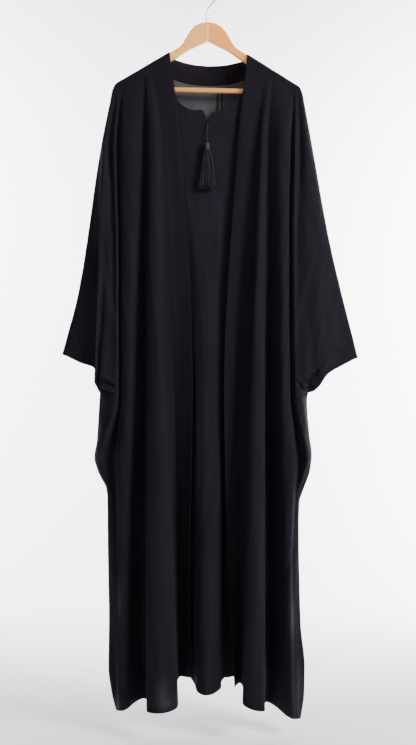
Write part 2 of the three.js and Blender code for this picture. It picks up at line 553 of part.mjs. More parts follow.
// The neck band from the centre back over the hanger arm, up to its shoulder seam
function backBandRows(frontRows, side) {
  const columns = [];
  for (let c = backCentre; backRows[HANG_ROW][c] && !backRows[0][c]; c += side) columns.push(c);
  const shoulderColumn = columns.at(-1) + side;
  const edge = frontRows[0][0];
  const neckEdge = new THREE.CatmullRomCurve3(
    BACK_NECK_EDGE.map(([share, depth, drop]) => new THREE.Vector3(
      share * edge.x, depth, THREE.MathUtils.lerp(SHOULDER.z, edge.z, share) - drop,
    )),
    false,
    'centripetal',
  );
  const across = (from, to) => BAND_SHARES.map((share) => (share === 1 ? to : from.clone().lerp(to, share)));
  const seamPoints = [...columns, shoulderColumn].map((c) => backRows[HANG_ROW][c]);
  const neck = seamPoints.map((p, k) => across(neckEdge.getPoint(k / (seamPoints.length - 1)), p));
  const overArm = BAND_OVER_ARM.map(({ depth, drop }, k) => (
    across(new THREE.Vector3(edge.x, depth, edge.z - drop), backRows[HANG_ROW - 1 - k][shoulderColumn])
  ));
  return [...neck, ...overArm, bandFrontOf(frontRows)[0]];
}

const outerSheets = {
  outer_front_left: { rows: frontOf(leftFull), outward: 1, seamPlane: { axis: 'y', sign: -1 } },
  outer_front_right: { rows: frontOf(rightFull), outward: -1, seamPlane: { axis: 'y', sign: -1 } },
  outer_back: { rows: backRows, outward: 1, seamPlane: { axis: 'y', sign: 1 } },
  back_band_left: { rows: backBandRows(leftFull, -1), outward: 1, seamPlane: { axis: 'x', sign: -1 } },
  back_band_right: { rows: backBandRows(rightFull, 1), outward: -1, seamPlane: { axis: 'x', sign: 1 } },
  front_band_left_upper: { rows: bandUpperOf(leftFull), outward: 1 },
  front_band_left_lower: { rows: bandLowerOf(leftFull), outward: 1 },
  front_band_right_upper: { rows: bandUpperOf(rightFull), outward: -1 },
  front_band_right_lower: { rows: bandLowerOf(rightFull), outward: -1 },
};
const outerNormals = new Map();
Object.values(outerSheets).forEach((sheet) => addNormals(sheet, outerNormals));
const outerSeams = sharedEdges(Object.values(outerSheets));
for (const [name, sheet] of Object.entries(outerSheets)) {
  const thickness = name.includes('band') ? BAND_WALL : CLOTH_WALL;
  addPiece(name, wall(sheet, thickness, outerNormals, outerSeams), ABAYA_BLACK);
}

// The inner front panel, with its round neckline and short slit
const innerLines = INNER_LINES.map(([name, [x, z], ...places]) => {
  const topZ = z === undefined ? shoulderZ(x) - INNER_TOP.drop : z - TILT * x;
  return neckLine([name, 1, [x, INNER_TOP.depth, topZ], ...places]);
});
const innerSheet = { rows: panelRows(innerLines, 0, innerLines.length - 1).slice(HANG_ROW), outward: -1 };
const innerNormals = new Map();
addNormals(innerSheet, innerNormals);
addPiece('inner_front', wall(innerSheet, CLOTH_WALL, innerNormals, new Set()), INNER_BLACK);

// The hanging loop: a narrow tape that hangs as a U inside the back neck
const loopPoint = (side, share) => new THREE.Vector3(
  LOOP.x + side * LOOP.spread,
  THREE.MathUtils.lerp(LOOP.top[0], LOOP.bottom[0], share),
  THREE.MathUtils.lerp(LOOP.top[1], LOOP.bottom[1], share),
);
const loopPath = new THREE.CatmullRomCurve3([
  loopPoint(-1, 0),
  loopPoint(-1, 0.5),
  loopPoint(-0.9, 0.93),
  loopPoint(0, 1),
  loopPoint(0.9, 0.93),
  loopPoint(1, 0.5),
  loopPoint(1, 0),
], false, 'centripetal');
const loopRows = Array.from({ length: LOOP.steps + 1 }, (unused, i) => {
  const at = loopPath.getPoint(i / LOOP.steps);
  const along = loopPath.getTangent(i / LOOP.steps);
  const across = new THREE.Vector3(0, 1, 0).cross(along).normalize().multiplyScalar(LOOP.width / 2);
  return [at.clone().sub(across), at.clone().add(across)];
});
const loopSheet = { rows: loopRows, outward: 1 };
const loopNormals = new Map();
addNormals(loopSheet, loopNormals);
addPiece('hanging_loop', wall(loopSheet, LOOP.wall, loopNormals, new Set()), ABAYA_BLACK);

// The tassel: a lathe-turned head whose strands start inside it and spread to the bottom
function strand(top, bottom, angle) {
  const length = TASSEL.headTop - TASSEL.headLength + 4 - TASSEL.bottom;
  const geometry = new THREE.CylinderGeometry(STRAND_RADIUS * 0.8, STRAND_RADIUS, length, 3, 3);
  const position = geometry.attributes.position;
  for (let i = 0; i < position.count; i += 1) {
    const down = 0.5 - position.getY(i) / length;
    const spread = down ** 0.7;
    const ringX = THREE.MathUtils.lerp(top[0], bottom[0], spread) * Math.cos(angle);
    const ringY = THREE.MathUtils.lerp(top[1], bottom[1], spread) * Math.sin(angle);
    const z = TASSEL.bottom + length * (1 - down);
    position.setXYZ(i, TASSEL.x + ringX + position.getX(i), TASSEL.depth + ringY + position.getZ(i), z);
  }
  // The swap of axes mirrors the prism, so its faces are turned back
  const turned = geometry.index.array.slice().reverse();
  geometry.setIndex(Array.from(turned));
  return toSolid(geometry);
}

const headProfile = [
  [0, 0], [2.2, 0], [3.6, -1.2], [TASSEL.headRadius * 0.9, -4], [TASSEL.headRadius, -8],
  [TASSEL.headRadius, -11], [TASSEL.headRadius * 0.86, -12], [TASSEL.headRadius, -13], [TASSEL.headRadius, -TASSEL.headLength],
  [0, -TASSEL.headLength],
].reverse().map(([r, z]) => new THREE.Vector2(r, z));
const headGeometry = new THREE.LatheGeometry(headProfile, 12);
headGeometry.rotateX(Math.PI / 2);
headGeometry.translate(TASSEL.x, TASSEL.depth, TASSEL.headTop);
const tasselStrands = STRAND_RINGS.flatMap(({ count, top, bottom }, ring) => (
  Array.from({ length: count }, (unused, i) => strand(top, bottom, ((i + ring / 3) / count) * 2 * Math.PI))
));
const tasselSolid = tasselStrands.reduce((solid, piece) => solid.add(piece), toSolid(headGeometry));
addPiece('tassel', toGeometry(tasselSolid), TASSEL_BLACK);

const cordStart = new THREE.Vector3(...TASSEL_CORD.start);
const cordEnd = new THREE.Vector3(...TASSEL_CORD.end);
const cordMiddle = cordStart.clone().lerp(cordEnd, 0.5).add(new THREE.Vector3(-0.3, -0.6, 0));
const cordCurve = new THREE.CatmullRomCurve3([cordStart, cordMiddle, cordEnd]);
addPiece('tassel_cord', roundAlong(cordCurve, TASSEL_CORD.radius, 8, 12), TASSEL_BLACK);

// The hanger: two arms that meet in the middle, a round bar in their feet and a wire hook in the left one.
// CUTTER is the side of the block that keeps one half of an arm, larger than the arm itself.
const CUTTER = 300;
const armTopAt = (x) => SHOULDER.z - SHOULDER.slope * (x - SHOULDER.x) - ARM_CLEARANCE;

function hangerArm(side) {
  const outline = [
    [-ARM.pastJoint, ARM_TOP[0][1]],
    ...ARM_TOP,
    [ARM_SLOPE.start, armTopAt(ARM_SLOPE.start)],
    [ARM_SLOPE.end, armTopAt(ARM_SLOPE.end)],
    ...ARM_END,
    ...ARM_UNDERSIDE,
    [-ARM.pastJoint, ARM_UNDERSIDE.at(-1)[1]],
  ].map(([x, z]) => new THREE.Vector2(side * x, z));
  const shape = new THREE.Shape(outline);
  const geometry = new THREE.ExtrudeGeometry(shape, {
    depth: ARM.thickness - 2 * ARM.rounding,
    bevelThickness: ARM.rounding,
    bevelSize: ARM.rounding,
    bevelOffset: -ARM.rounding,
    bevelSegments: 2,
  });
  geometry.translate(0, 0, ARM.rounding - ARM.thickness / 2);
  geometry.rotateX(Math.PI / 2);
  const half = new THREE.BoxGeometry(CUTTER, CUTTER, CUTTER);
  half.translate(side * (CUTTER / 2 + ARM.jointGap / 2), 0, -CUTTER / 2);
  const barHole = new THREE.CylinderGeometry(BAR.holeRadius, BAR.holeRadius, BAR.holeEnd - BAR.holeStart, 20);
  barHole.rotateZ(Math.PI / 2);
  barHole.translate(side * (BAR.holeEnd + BAR.holeStart) / 2, 0, BAR.z);
  let solid = toSolid(geometry).intersect(toSolid(half)).subtract(toSolid(barHole));
  if (Math.sign(HOOK_HOLE.x) === side) {
    const hole = new THREE.CylinderGeometry(HOOK_HOLE.radius, HOOK_HOLE.radius, HOOK_HOLE.length, 12);
    hole.rotateX(Math.PI / 2);
    hole.translate(HOOK_HOLE.x, 0, HOOK_HOLE.bottom + HOOK_HOLE.length / 2);
    solid = solid.subtract(toSolid(hole));
  }
  return shear(toGeometry(solid));
}

// The hanger hangs a little lower on the right of the view
function shear(geometry) {
  return geometry.applyMatrix4(new THREE.Matrix4().set(1, 0, 0, 0, 0, 1, 0, 0, -TILT, 0, 1, 0, 0, 0, 0, 1));
}

addPiece('hanger_arm_left', hangerArm(-1), WOOD);
addPiece('hanger_arm_right', hangerArm(1), WOOD);

const barGeometry = new THREE.CylinderGeometry(BAR.radius, BAR.radius, 2 * BAR.reach, 20);
barGeometry.rotateZ(Math.PI / 2);
barGeometry.translate(0, 0, BAR.z);
addPiece('hanger_bar', shear(bare(barGeometry)), WOOD);

const hookCentreZ = HOOK.wire - HOOK.bend;
const hookPoint = (degrees) => {
  const angle = THREE.MathUtils.degToRad(degrees);
  return new THREE.Vector3(HOOK.bend * Math.cos(angle), 0, hookCentreZ + HOOK.bend * Math.sin(angle));
};
const hookArc = Array.from({ length: HOOK.arcPoints }, (unused, i) => (
  hookPoint(THREE.MathUtils.lerp(HOOK.from, HOOK.to, i / (HOOK.arcPoints - 1)))
));
const hookShank = HOOK_SHANK.map(([x, z]) => new THREE.Vector3(x, 0, z));
const hookPath = new THREE.CatmullRomCurve3([...hookShank, ...hookArc], false, 'centripetal');
addPiece('hanger_hook', roundAlong(hookPath, HOOK.wire, 8, HOOK.steps), STEEL);

export default group;
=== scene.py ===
# %% [markdown]
# # A butterfly abaya on its hanger
#
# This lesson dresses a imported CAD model: a long open robe in thin black crepe on a wooden hanger, with an
# inner panel and a tassel in its open front. The CAD solids give every piece its place. Here each cloth
# piece is worked out again as a finer, thinner shell, with its weave, seams and creases.

import bmesh
import bpy
import numpy as np
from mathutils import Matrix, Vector


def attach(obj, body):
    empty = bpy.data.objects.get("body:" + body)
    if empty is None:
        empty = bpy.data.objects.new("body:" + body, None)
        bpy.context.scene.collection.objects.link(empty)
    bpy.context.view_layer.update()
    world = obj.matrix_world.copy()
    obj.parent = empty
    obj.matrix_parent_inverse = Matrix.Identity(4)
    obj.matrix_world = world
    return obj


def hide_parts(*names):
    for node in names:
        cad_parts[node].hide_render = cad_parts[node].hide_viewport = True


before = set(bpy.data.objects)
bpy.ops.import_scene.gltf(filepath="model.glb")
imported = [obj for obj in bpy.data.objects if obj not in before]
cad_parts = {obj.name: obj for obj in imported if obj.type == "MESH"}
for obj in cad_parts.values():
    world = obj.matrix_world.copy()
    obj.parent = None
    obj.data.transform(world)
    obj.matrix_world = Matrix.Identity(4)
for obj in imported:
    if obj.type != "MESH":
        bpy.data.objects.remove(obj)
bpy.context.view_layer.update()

# %% [markdown]
# ## The camera
#
# The photograph looks straight at the robe, level with its middle. A pixel covers 2.27 mm at the hanger, if
# the hanger has the usual width of 42 cm. From 2.4 m away that gives the lens below, as Blender's 36 mm
# sensor lies along the longer side of the picture.

# %% Camera
MM = 0.001
PHOTO_HEIGHT = 745
PIXEL = 2.27 * MM
CAMERA_DISTANCE = 2.4
EYE_HEIGHT = -889 * MM
SENSOR = 36

camera = bpy.data.objects.new("photo_camera", bpy.data.cameras.new("photo_camera"))
bpy.context.scene.collection.objects.link(camera)
camera.data.sensor_width = SENSOR
camera.data.lens = SENSOR * CAMERA_DISTANCE / (PIXEL * PHOTO_HEIGHT)
camera.location = (0, -CAMERA_DISTANCE, EYE_HEIGHT)
camera.rotation_euler = (np.pi / 2, 0, 0)
bpy.context.scene.camera = camera
print("lens:", round(camera.data.lens, 1), "mm")

# %% [markdown]
# ## From numbers to a mesh
#
# Every surface is a grid of points worked out with numpy: rows run down the robe, columns across it. NaN
# marks holes, such as the part of a sleeve below its cuff. Faces are made only where all four corners
# exist, and are turned outwards. The UV map is measured in metres along the cloth, so a weave has its real
# size.

# %% Grid to mesh
def lengths_along(points, axis):
    """Distance walked along one axis of a grid of points. A missing step takes the mean of its neighbours."""
    steps = np.linalg.norm(np.diff(points, axis=axis), axis=-1)
    other = 1 - axis
    steps = np.where(np.isnan(steps), np.nanmean(steps, axis=other, keepdims=True), steps)
    start = np.zeros_like(steps.take([0], axis=axis))
    return np.concatenate([start, np.cumsum(steps, axis=axis)], axis=axis)


def grid_faces(points):
    """The four corners of every cell whose points all exist, as numbers in the list of existing points."""
    real = ~np.isnan(points[..., 0])
    number = np.cumsum(real).reshape(real.shape) - 1
    corners = [number[:-1, :-1], number[1:, :-1], number[1:, 1:], number[:-1, 1:]]
    whole = real[:-1, :-1] & real[1:, :-1] & real[1:, 1:] & real[:-1, 1:]
    return np.stack([corner[whole] for corner in corners], axis=-1), real


def facing(verts, faces):
    """Sum of the area normals of quads or triangles, which tells where a sheet faces."""
    a, b, c = (verts[faces[:, k]] for k in range(3))
    return np.cross(b - a, c - a).sum(axis=0)


def link_mesh(name, verts, faces, rides=True):
    """A smooth mesh object from points and faces. Every part of the robe rides on its one body."""
    mesh = bpy.data.meshes.new(name)
    mesh.from_pydata(verts.tolist(), [], faces.tolist() if hasattr(faces, "tolist") else faces)
    mesh.polygons.foreach_set("use_smooth", np.full(len(mesh.polygons), True))
    mesh.update()
    piece = bpy.data.objects.new(name, mesh)
    bpy.context.scene.collection.objects.link(piece)
    if rides:
        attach(piece, "root")
    return piece


def add_numbers(piece, name, values):
    """Stores one number a point on the mesh, for a material to read."""
    attribute = piece.data.attributes.new(name, "FLOAT", "POINT")
    attribute.data.foreach_set("value", values.astype(np.float32))


def cloth_piece(name, points, outward, thickness, numbers):
    """A sheet of cloth from a grid: faces turned to look along outward, UVs in metres, then a thin wall."""
    faces, real = grid_faces(points)
    verts = points[real]
    if facing(verts, faces) @ np.array(outward) < 0:
        faces = faces[:, ::-1]
    piece = link_mesh(name, verts, faces)
    across, down = lengths_along(points, 1)[real], lengths_along(points, 0)[real]
    uv = piece.data.uv_layers.new(name="cloth")
    uv.data.foreach_set("uv", np.stack([across, down], axis=-1)[faces.ravel()].astype(np.float32).ravel())
    for label, values in numbers.items():
        add_numbers(piece, label, np.broadcast_to(values, real.shape)[real])
    wall = piece.modifiers.new("wall", "SOLIDIFY")
    wall.thickness = thickness
    wall.offset = 0
    even = piece.modifiers.new("even shading", "WEIGHTED_NORMAL")
    even.weight = 100
    a, b, c, d = (verts[faces[:, k]] for k in range(4))
    area = np.linalg.norm(np.cross(c - a, d - b), axis=-1).sum() / 2
    size = f"{across.max():.2f} x {down.max():.2f} m"
    print(f"{name}: {len(faces)} cells, {area:.3f} m2 of cloth, up to {size}")
    return piece

# %% [markdown]
# ## Smooth curves
#
# Two kinds of curve draw the cloth. Down the robe, a fold line goes through a few measured points and must
# not swing past them, so it is a monotone curve. Across the robe, a rounded curve joins one fold line to
# the next.

# %% Curves
def monotone(places, values, at):
    """Cubic pieces through (place, value) knots. The slope at a knot is the harmonic mean of the slopes of
    the two chords beside it, and zero where they differ in sign, so the curve never swings past a knot."""
    order = np.argsort(places)
    x, y = np.asarray(places, float)[order], np.asarray(values, float)[order]
    chord = np.diff(y) / np.diff(x)
    before, after = chord[:-1], chord[1:]
    agree = before * after > 0
    middle = np.where(agree, 2 * before * after / np.where(agree, before + after, 1), 0)
    bend = np.concatenate([chord[:1], middle, chord[-1:]])
    at = np.clip(at, x[0], x[-1])
    k = np.clip(np.searchsorted(x, at) - 1, 0, len(x) - 2)
    span = x[k + 1] - x[k]
    t = (at - x[k]) / span
    rise = t * t * (3 - 2 * t)
    swing = t * (1 - t) * span * ((1 - t) * bend[k] - t * bend[k + 1])
    return y[k] * (1 - rise) + y[k + 1] * rise + swing


def through(knots, at):
    """Centripetal Catmull-Rom curve along the first axis of knots: between knots 1 and 2 it leaves and
    arrives with slopes from their neighbours, weighed by the roots of their distances. at counts in knots."""
    ends = np.concatenate([2 * knots[:1] - knots[1:2], knots, 2 * knots[-1:] - knots[-2:-1]])
    k = np.minimum(at.astype(int), len(knots) - 2)
    t = (at - k).reshape((-1,) + (1,) * (knots.ndim - 1))
    p0, p1, p2, p3 = (ends[k + n] for n in range(4))

    def root_gap(p, q):
        return np.maximum(np.linalg.norm(q - p, axis=-1, keepdims=True) ** 0.5, 1e-6)

    d0, d1, d2 = root_gap(p0, p1), root_gap(p1, p2), root_gap(p2, p3)
    leave = ((p1 - p0) / d0 - (p2 - p0) / (d0 + d1) + (p2 - p1) / d1) * d1
    arrive = ((p2 - p1) / d1 - (p3 - p1) / (d1 + d2) + (p3 - p2) / d2) * d1
    rise = t * t * (3 - 2 * t)
    return p1 * (1 - rise) + p2 * rise + t * (1 - t) * ((1 - t) * leave - t * arrive)


def finer(strips, share):
    """Places along a row of knots, with share steps for each of the strips between one knot and the next."""
    steps = [k + np.arange(n * share) / (n * share) for k, n in enumerate(strips)]
    return np.concatenate([*steps, [len(strips)]])

# %% [markdown]
# ## How the cloth falls
#
# Front and back meet along the top of the hanger arms. The rows of a grid are stages of the fall: round the
# arm, down to the cuffs, then down to the hem. A fold line is a place on the cloth, such as a crest, a
# valley or a seam, followed through all the stages.

# %% Fall of the cloth
TILT = np.tan(np.radians(1.2))
SHOULDER = {"x": 88, "z": -165.6, "slope": 0.6009, "tip": 204, "droop_left": 0.05, "droop_right": 0.08}
HEIGHTS = {"chest": -384, "bust": -588, "cuff": -938, "low": -1085, "hip": -1172, "knee": -1314}
HANG_DEPTH = 11
HANG_DROP = 18

# Rows lie closer together round the arm and near the cuffs, where the small creases are
ROUND_ARM = np.linspace(0, 1, 13)
TO_CUFF = np.concatenate([np.linspace(0, 0.87, 81)[1:], np.linspace(0.87, 1, 41)[1:]])
TO_HEM = np.concatenate([np.linspace(0, 0.18, 33)[1:], np.linspace(0.18, 1, 81)[1:]])
HANG_ROW = len(ROUND_ARM) - 1
CUFF_ROW = HANG_ROW + len(TO_CUFF)
ROWS = CUFF_ROW + len(TO_HEM) + 1

# How deep the cloth stands, and how far it has dropped on the arm and past its tip, a third at a time
WRAP_AT = [0, 1 / 3, 2 / 3, 1]
WRAP_DEPTH = monotone(WRAP_AT, [0, 0.55, 0.96, 1], ROUND_ARM)
WRAP_ON_ARM = monotone(WRAP_AT, [0, 0.3, 5.5, HANG_DROP], ROUND_ARM)
WRAP_PAST_TIP = monotone(WRAP_AT, [0, 5, 10.5, HANG_DROP], ROUND_ARM)


def shoulder_height(x):
    """A straight slope over each arm. Past the arm's tip it droops with the square of the distance."""
    reach = abs(x)
    droop = SHOULDER["droop_left"] if x < 0 else SHOULDER["droop_right"]
    past = max(0, reach - SHOULDER["tip"])
    return SHOULDER["z"] - SHOULDER["slope"] * (reach - SHOULDER["x"]) - TILT * x - droop * past**2


def fold_line(entry, seam_below=()):
    """One fold line from the shoulder down, in millimetres: its x and its depth are monotone curves of height
    through the entry's places, and over the arm its depth grows by the shares of the wrap."""
    _, _, (top_x, top_depth), *places = entry
    top = shoulder_height(top_x)
    heights = [*HEIGHTS.values()]
    knots = [(*place[:2], *(place[2:] or heights[k: k + 1])) for k, place in enumerate(places) if place]
    cuff = [*places[2][2:], HEIGHTS["cuff"]][0]
    hang = top - HANG_DROP
    on_arm = abs(top_depth) / HANG_DEPTH
    wrap = top - (on_arm * WRAP_ON_ARM + (1 - on_arm) * WRAP_PAST_TIP)
    knot_x, knot_y, knot_z = (list(values) for values in zip(*knots))
    seam_x, seam_z = [x for x, _ in seam_below], [z for _, z in seam_below]
    hem = (knot_z + seam_z)[-1]
    z = np.concatenate([wrap, hang + (cuff - hang) * TO_CUFF, cuff + (hem - cuff) * TO_HEM])
    x = monotone([top] + knot_z + seam_z, [top_x] + knot_x + seam_x, z)
    y = monotone([hang] + knot_z, [top_depth] + knot_y, z)
    y[: len(ROUND_ARM)] = WRAP_DEPTH * top_depth
    return np.stack([x, y, z], axis=-1)


def neck_line(top, chest, cuff, knee, hem):
    """One fold line from a neckline down, in millimetres. It has no rows over the arm."""
    level = HEIGHTS["cuff"]
    places = [top, (*chest, HEIGHTS["chest"]), (*cuff, level), (*knee, HEIGHTS["knee"]), hem]
    z = np.concatenate([np.full(len(ROUND_ARM), top[2]), top[2] + (level - top[2]) * TO_CUFF,
                        level + (hem[2] - level) * TO_HEM])
    heights = [place[2] for place in places]
    x, y = (monotone(heights, [place[axis] for place in places], z) for axis in (0, 1))
    return np.stack([x, y, z], axis=-1)


print("rows down the robe:", ROWS, "and to the cuffs:", CUFF_ROW + 1)

# %% [markdown]
# ## Materials: the crepe
#
# The robe's cloth is a thin matte crepe: a plain weave of hard-twisted threads with a pebbled face. Two
# effects are shared by several cloths, so each is a node group: the weave's height and changes of shade,
# and a row of stitches at a set distance from an edge.

# %% Node helpers
def new_group(name, inputs, outputs):
    """A shader node group. Its inputs are vectors where the default is None, and numbers elsewhere."""
    group = bpy.data.node_groups.new(name, "ShaderNodeTree")
    for label, value in inputs.items():
        kind = "NodeSocketVector" if value is None else "NodeSocketFloat"
        socket = group.interface.new_socket(label, in_out="INPUT", socket_type=kind)
        if value is not None:
            socket.default_value = value
    for label in outputs:
        group.interface.new_socket(label, in_out="OUTPUT", socket_type="NodeSocketFloat")
    return group, group.nodes.new("NodeGroupInput").outputs, group.nodes.new("NodeGroupOutput").inputs


def give(tree, taker, **inputs):
    """Sets or links a node's inputs. Each is given by name, or by number after an underscore."""
    for label, value in inputs.items():
        socket = taker.inputs[int(label[1:]) if label[0] == "_" else label.replace("_", " ")]
        if isinstance(value, bpy.types.NodeSocket):
            tree.links.new(value, socket)
        else:
            socket.default_value = value
    return taker


def node(tree, kind, settings=None, **inputs):
    """Adds a node with its properties and inputs."""
    made = tree.nodes.new(kind)
    for label, value in (settings or {}).items():
        setattr(made, label, value)
    return give(tree, made, **inputs)


def math_node(tree, operation, *values):
    """A Math node on the given numbers or sockets."""
    return node(tree, "ShaderNodeMath", {"operation": operation},
                **{f"_{k}": value for k, value in enumerate(values)}).outputs[0]


def ranged(tree, value, low, high, to_low=0.0, to_high=1.0):
    """Maps a number from one range to another, held at both ends."""
    return node(tree, "ShaderNodeMapRange", None, Value=value, From_Min=low, From_Max=high, To_Min=to_low,
                To_Max=to_high).outputs[0]


def noise(tree, place, scale, detail, dimensions="3D", **more):
    """Smooth noise at a place."""
    return node(tree, "ShaderNodeTexNoise", {"noise_dimensions": dimensions}, Vector=place, Scale=scale,
                Detail=detail, **more).outputs[0]


def mapped(tree, place, **change):
    """A place that is scaled or turned."""
    return node(tree, "ShaderNodeMapping", None, Vector=place, **change).outputs[0]


def mixed(tree, share, *colours):
    """A colour on the way from the first colour to the second."""
    first, second = ((*c, 1) if isinstance(c, tuple) else c for c in colours)
    return node(tree, "ShaderNodeMix", {"data_type": "RGBA"}, _0=share, _6=first, _7=second).outputs[2]


def bumped(tree, height, strength):
    """The surface's direction, tilted by a height in metres."""
    return node(tree, "ShaderNodeBump", None, Height=height, Distance=1.0, Strength=strength).outputs[0]


def grouped(tree, group, **inputs):
    """Places a node group."""
    return node(tree, "ShaderNodeGroup", {"node_tree": group}, **inputs).outputs


def stored(tree, name):
    """The number that the mesh stores under this name, at the point being shaded."""
    return node(tree, "ShaderNodeAttribute", {"attribute_name": name}).outputs["Fac"]


def object_place(tree):
    """Where the point being shaded lies in its object."""
    return node(tree, "ShaderNodeTexCoord").outputs["Object"]


def new_material(name):
    """An empty node material with its Principled shader."""
    material = bpy.data.materials.new(name)
    material.use_nodes = True
    return material, material.node_tree, material.node_tree.nodes["Principled BSDF"]


# %% The weave group
def make_weave_group():
    """Two crossed sine ridges, a thread apart, plus pebbles of noise; shade is slow noise, longer down the
    cloth than across it, as in lengths of yarn."""
    group, given, out = new_group("crepe weave", {"Cloth": None, "Thread": 0.0006}, ["Height", "Shade"])

    def times(*pair):
        return math_node(group, "MULTIPLY", *pair)

    def plus(*pair):
        return math_node(group, "ADD", *pair)

    per_thread = math_node(group, "DIVIDE", 1.0, given["Thread"])
    scaled = node(group, "ShaderNodeVectorMath", {"operation": "SCALE"}, _0=given["Cloth"],
                  Scale=per_thread).outputs[0]
    parts = node(group, "ShaderNodeSeparateXYZ", None, Vector=scaled).outputs
    waves = [math_node(group, "SINE", times(part, np.pi)) for part in parts[:2]]
    ridges = [math_node(group, "ABSOLUTE", wave) for wave in waves]
    pebble = noise(group, scaled, 0.45, 3.0, "2D")
    group.links.new(plus(times(plus(*ridges), 0.3), pebble), out["Height"])
    streaks = noise(group, mapped(group, given["Cloth"], Scale=(60, 4, 1)), 1.0, 4.0, "2D", Roughness=0.6)
    patches = noise(group, given["Cloth"], 7.0, 2.0, "2D")
    group.links.new(plus(times(streaks, 0.6), times(patches, 0.4)), out["Shade"])
    return group


def make_stitch_group():
    """A thin groove at the inset distance from an edge, broken into stitches by a wave along the edge. The
    height is 1 on the cloth and 0 at the bottom of the groove between stitches."""
    inputs = {"Distance": 1.0, "Along": 0.0, "Inset": 0.02, "Stitch": 0.0025}
    group, given, out = new_group("stitch row", inputs, ["Height", "Edge step"])
    off = math_node(group, "ABSOLUTE", math_node(group, "SUBTRACT", given["Distance"], given["Inset"]))
    groove = ranged(group, off, 0.0003, 0.0012)
    stitches = math_node(group, "DIVIDE", given["Along"], given["Stitch"])
    wave = math_node(group, "SINE", math_node(group, "MULTIPLY", stitches, 2 * np.pi))
    thread = ranged(group, wave, -0.2, 0.4, 0.0, 0.6)
    group.links.new(math_node(group, "MAXIMUM", groove, thread), out["Height"])
    past = math_node(group, "ADD", given["Inset"], 0.003)
    group.links.new(ranged(group, given["Distance"], given["Inset"], past, 1.0, 0.0), out["Edge step"])
    return group


weave_group = make_weave_group()
stitch_group = make_stitch_group()
print("node groups:", [group.name for group in bpy.data.node_groups])

# %% [markdown]
# A cloth material puts weave and stitches into one Bump node, and lets the shade change colour and
# roughness a little. Crepe scatters light at grazing angles, which the Principled shader's sheen gives.
# Where a single layer has light behind it, that light is painted into the colour as grey, where numbers
# stored on the mesh say. In the stitch grooves the colour darkens towards near black, as painted shade.

# %% Cloth materials
# Painted shade: the near black that the colour darkens to in the stitch grooves
PAINTED_GROOVE_SHADE = (0.001, 0.0009, 0.0012)
# Painted backlight: the grey of light from behind shining through a single layer of thin cloth
PAINTED_BACKLIGHT_GREY = (0.058, 0.055, 0.061)


def cloth_material(name, dark, light, roughness, sheen, rows, thread=0.0006, painted_light_where="painted_backlight"):
    """A woven cloth: rows lists its stitch rows as (stored distance, inset), and painted_light_where names
    the stored numbers that say where light from behind is painted into the colour as grey. The colour darkens
    in the stitch grooves, as painted shade."""
    material, tree, shader = new_material(name)
    cloth = node(tree, "ShaderNodeUVMap", {"uv_map": "cloth"}).outputs[0]
    weave = grouped(tree, weave_group, Cloth=cloth, Thread=thread)
    across = node(tree, "ShaderNodeSeparateXYZ", None, Vector=cloth).outputs[0]
    shade = mixed(tree, ranged(tree, weave["Shade"], 0.3, 0.7), dark, light)
    height = math_node(tree, "MULTIPLY", weave["Height"], 0.00012)
    groove_shade_mask = 1.0
    for label, inset in rows:
        stitches = grouped(tree, stitch_group, Distance=stored(tree, label), Along=across, Inset=inset)
        groove_shade_mask = math_node(tree, "MINIMUM", stitches["Height"], groove_shade_mask)
        for part, tall in (("Height", 0.0005), ("Edge step", 0.0006)):
            height = math_node(tree, "ADD", height, math_node(tree, "MULTIPLY", stitches[part], tall))
    # Painted shade in the stitch grooves: the colour darkens towards near black along each row
    groove_shaded = mixed(tree, ranged(tree, groove_shade_mask, 0.0, 1.0, 0.45, 1.0), PAINTED_GROOVE_SHADE, shade)
    # Painted backlight: the colour turns grey where light from behind shines through a single layer
    give(tree, shader, Base_Color=mixed(tree, stored(tree, painted_light_where), groove_shaded, PAINTED_BACKLIGHT_GREY),
         Roughness=ranged(tree, weave["Shade"], 0.2, 0.8, roughness - 0.06, roughness + 0.06),
         Normal=bumped(tree, height, 0.7), Specular_IOR_Level=0.07, Sheen_Weight=sheen, Sheen_Roughness=0.45,
         Sheen_Tint=(0.62, 0.6, 0.66, 1))
    return material


CREPE = [(0.006, 0.0048, 0.0078), (0.0092, 0.0075, 0.0116), 0.85, 0.03]
HEM_ROW = ("from_hem", 0.014)
ROBE_ROWS = [HEM_ROW, ("from_cuff", 0.034)]
outer_crepe = cloth_material("outer_crepe", *CREPE, ROBE_ROWS)
painted_backlight_crepe = cloth_material("painted_backlight_crepe", *CREPE, ROBE_ROWS, painted_light_where="backlit")
band_crepe = cloth_material("band_crepe", (0.006, 0.0048, 0.0077), (0.0091, 0.0074, 0.0114), 0.85, 0.03,
                            [HEM_ROW])
# Lighter than the robe's crepe, partly as painted light that lifts the inner panel out of the fronts' shadow
inner_crepe = cloth_material("inner_crepe", (0.0077, 0.0062, 0.0098), (0.0113, 0.0093, 0.0143), 0.87, 0.02,
                             [HEM_ROW, ("from_neck", 0.015)])
loop_tape = cloth_material("loop_tape", (0.008, 0.0075, 0.009), (0.014, 0.013, 0.016), 0.55, 0.1, [], 0.0004)
print("cloth materials:", [m.name for m in (outer_crepe, painted_backlight_crepe, band_crepe, inner_crepe, loop_tape)])

# %% [markdown]
# ## The two fronts
#
# Each front is cut in one with its sleeve. It starts at the open edge, under the doubled band, and runs
# over two deep folds to the side seam, and above the cuff on to the sleeve's top fold. The tables have a
# row for each fold line, from the open edge outwards. A place is x and depth in millimetres at a level of
# the body, or at its own height where a third number gives one.

# %% Fold lines of the left front
def plain(name, strips, shoulder, chest, cuff, knee, hem):
    """A fold line that has no places of its own at the bust, low and hip levels."""
    return name, strips, shoulder, chest, None, cuff, None, None, knee, hem


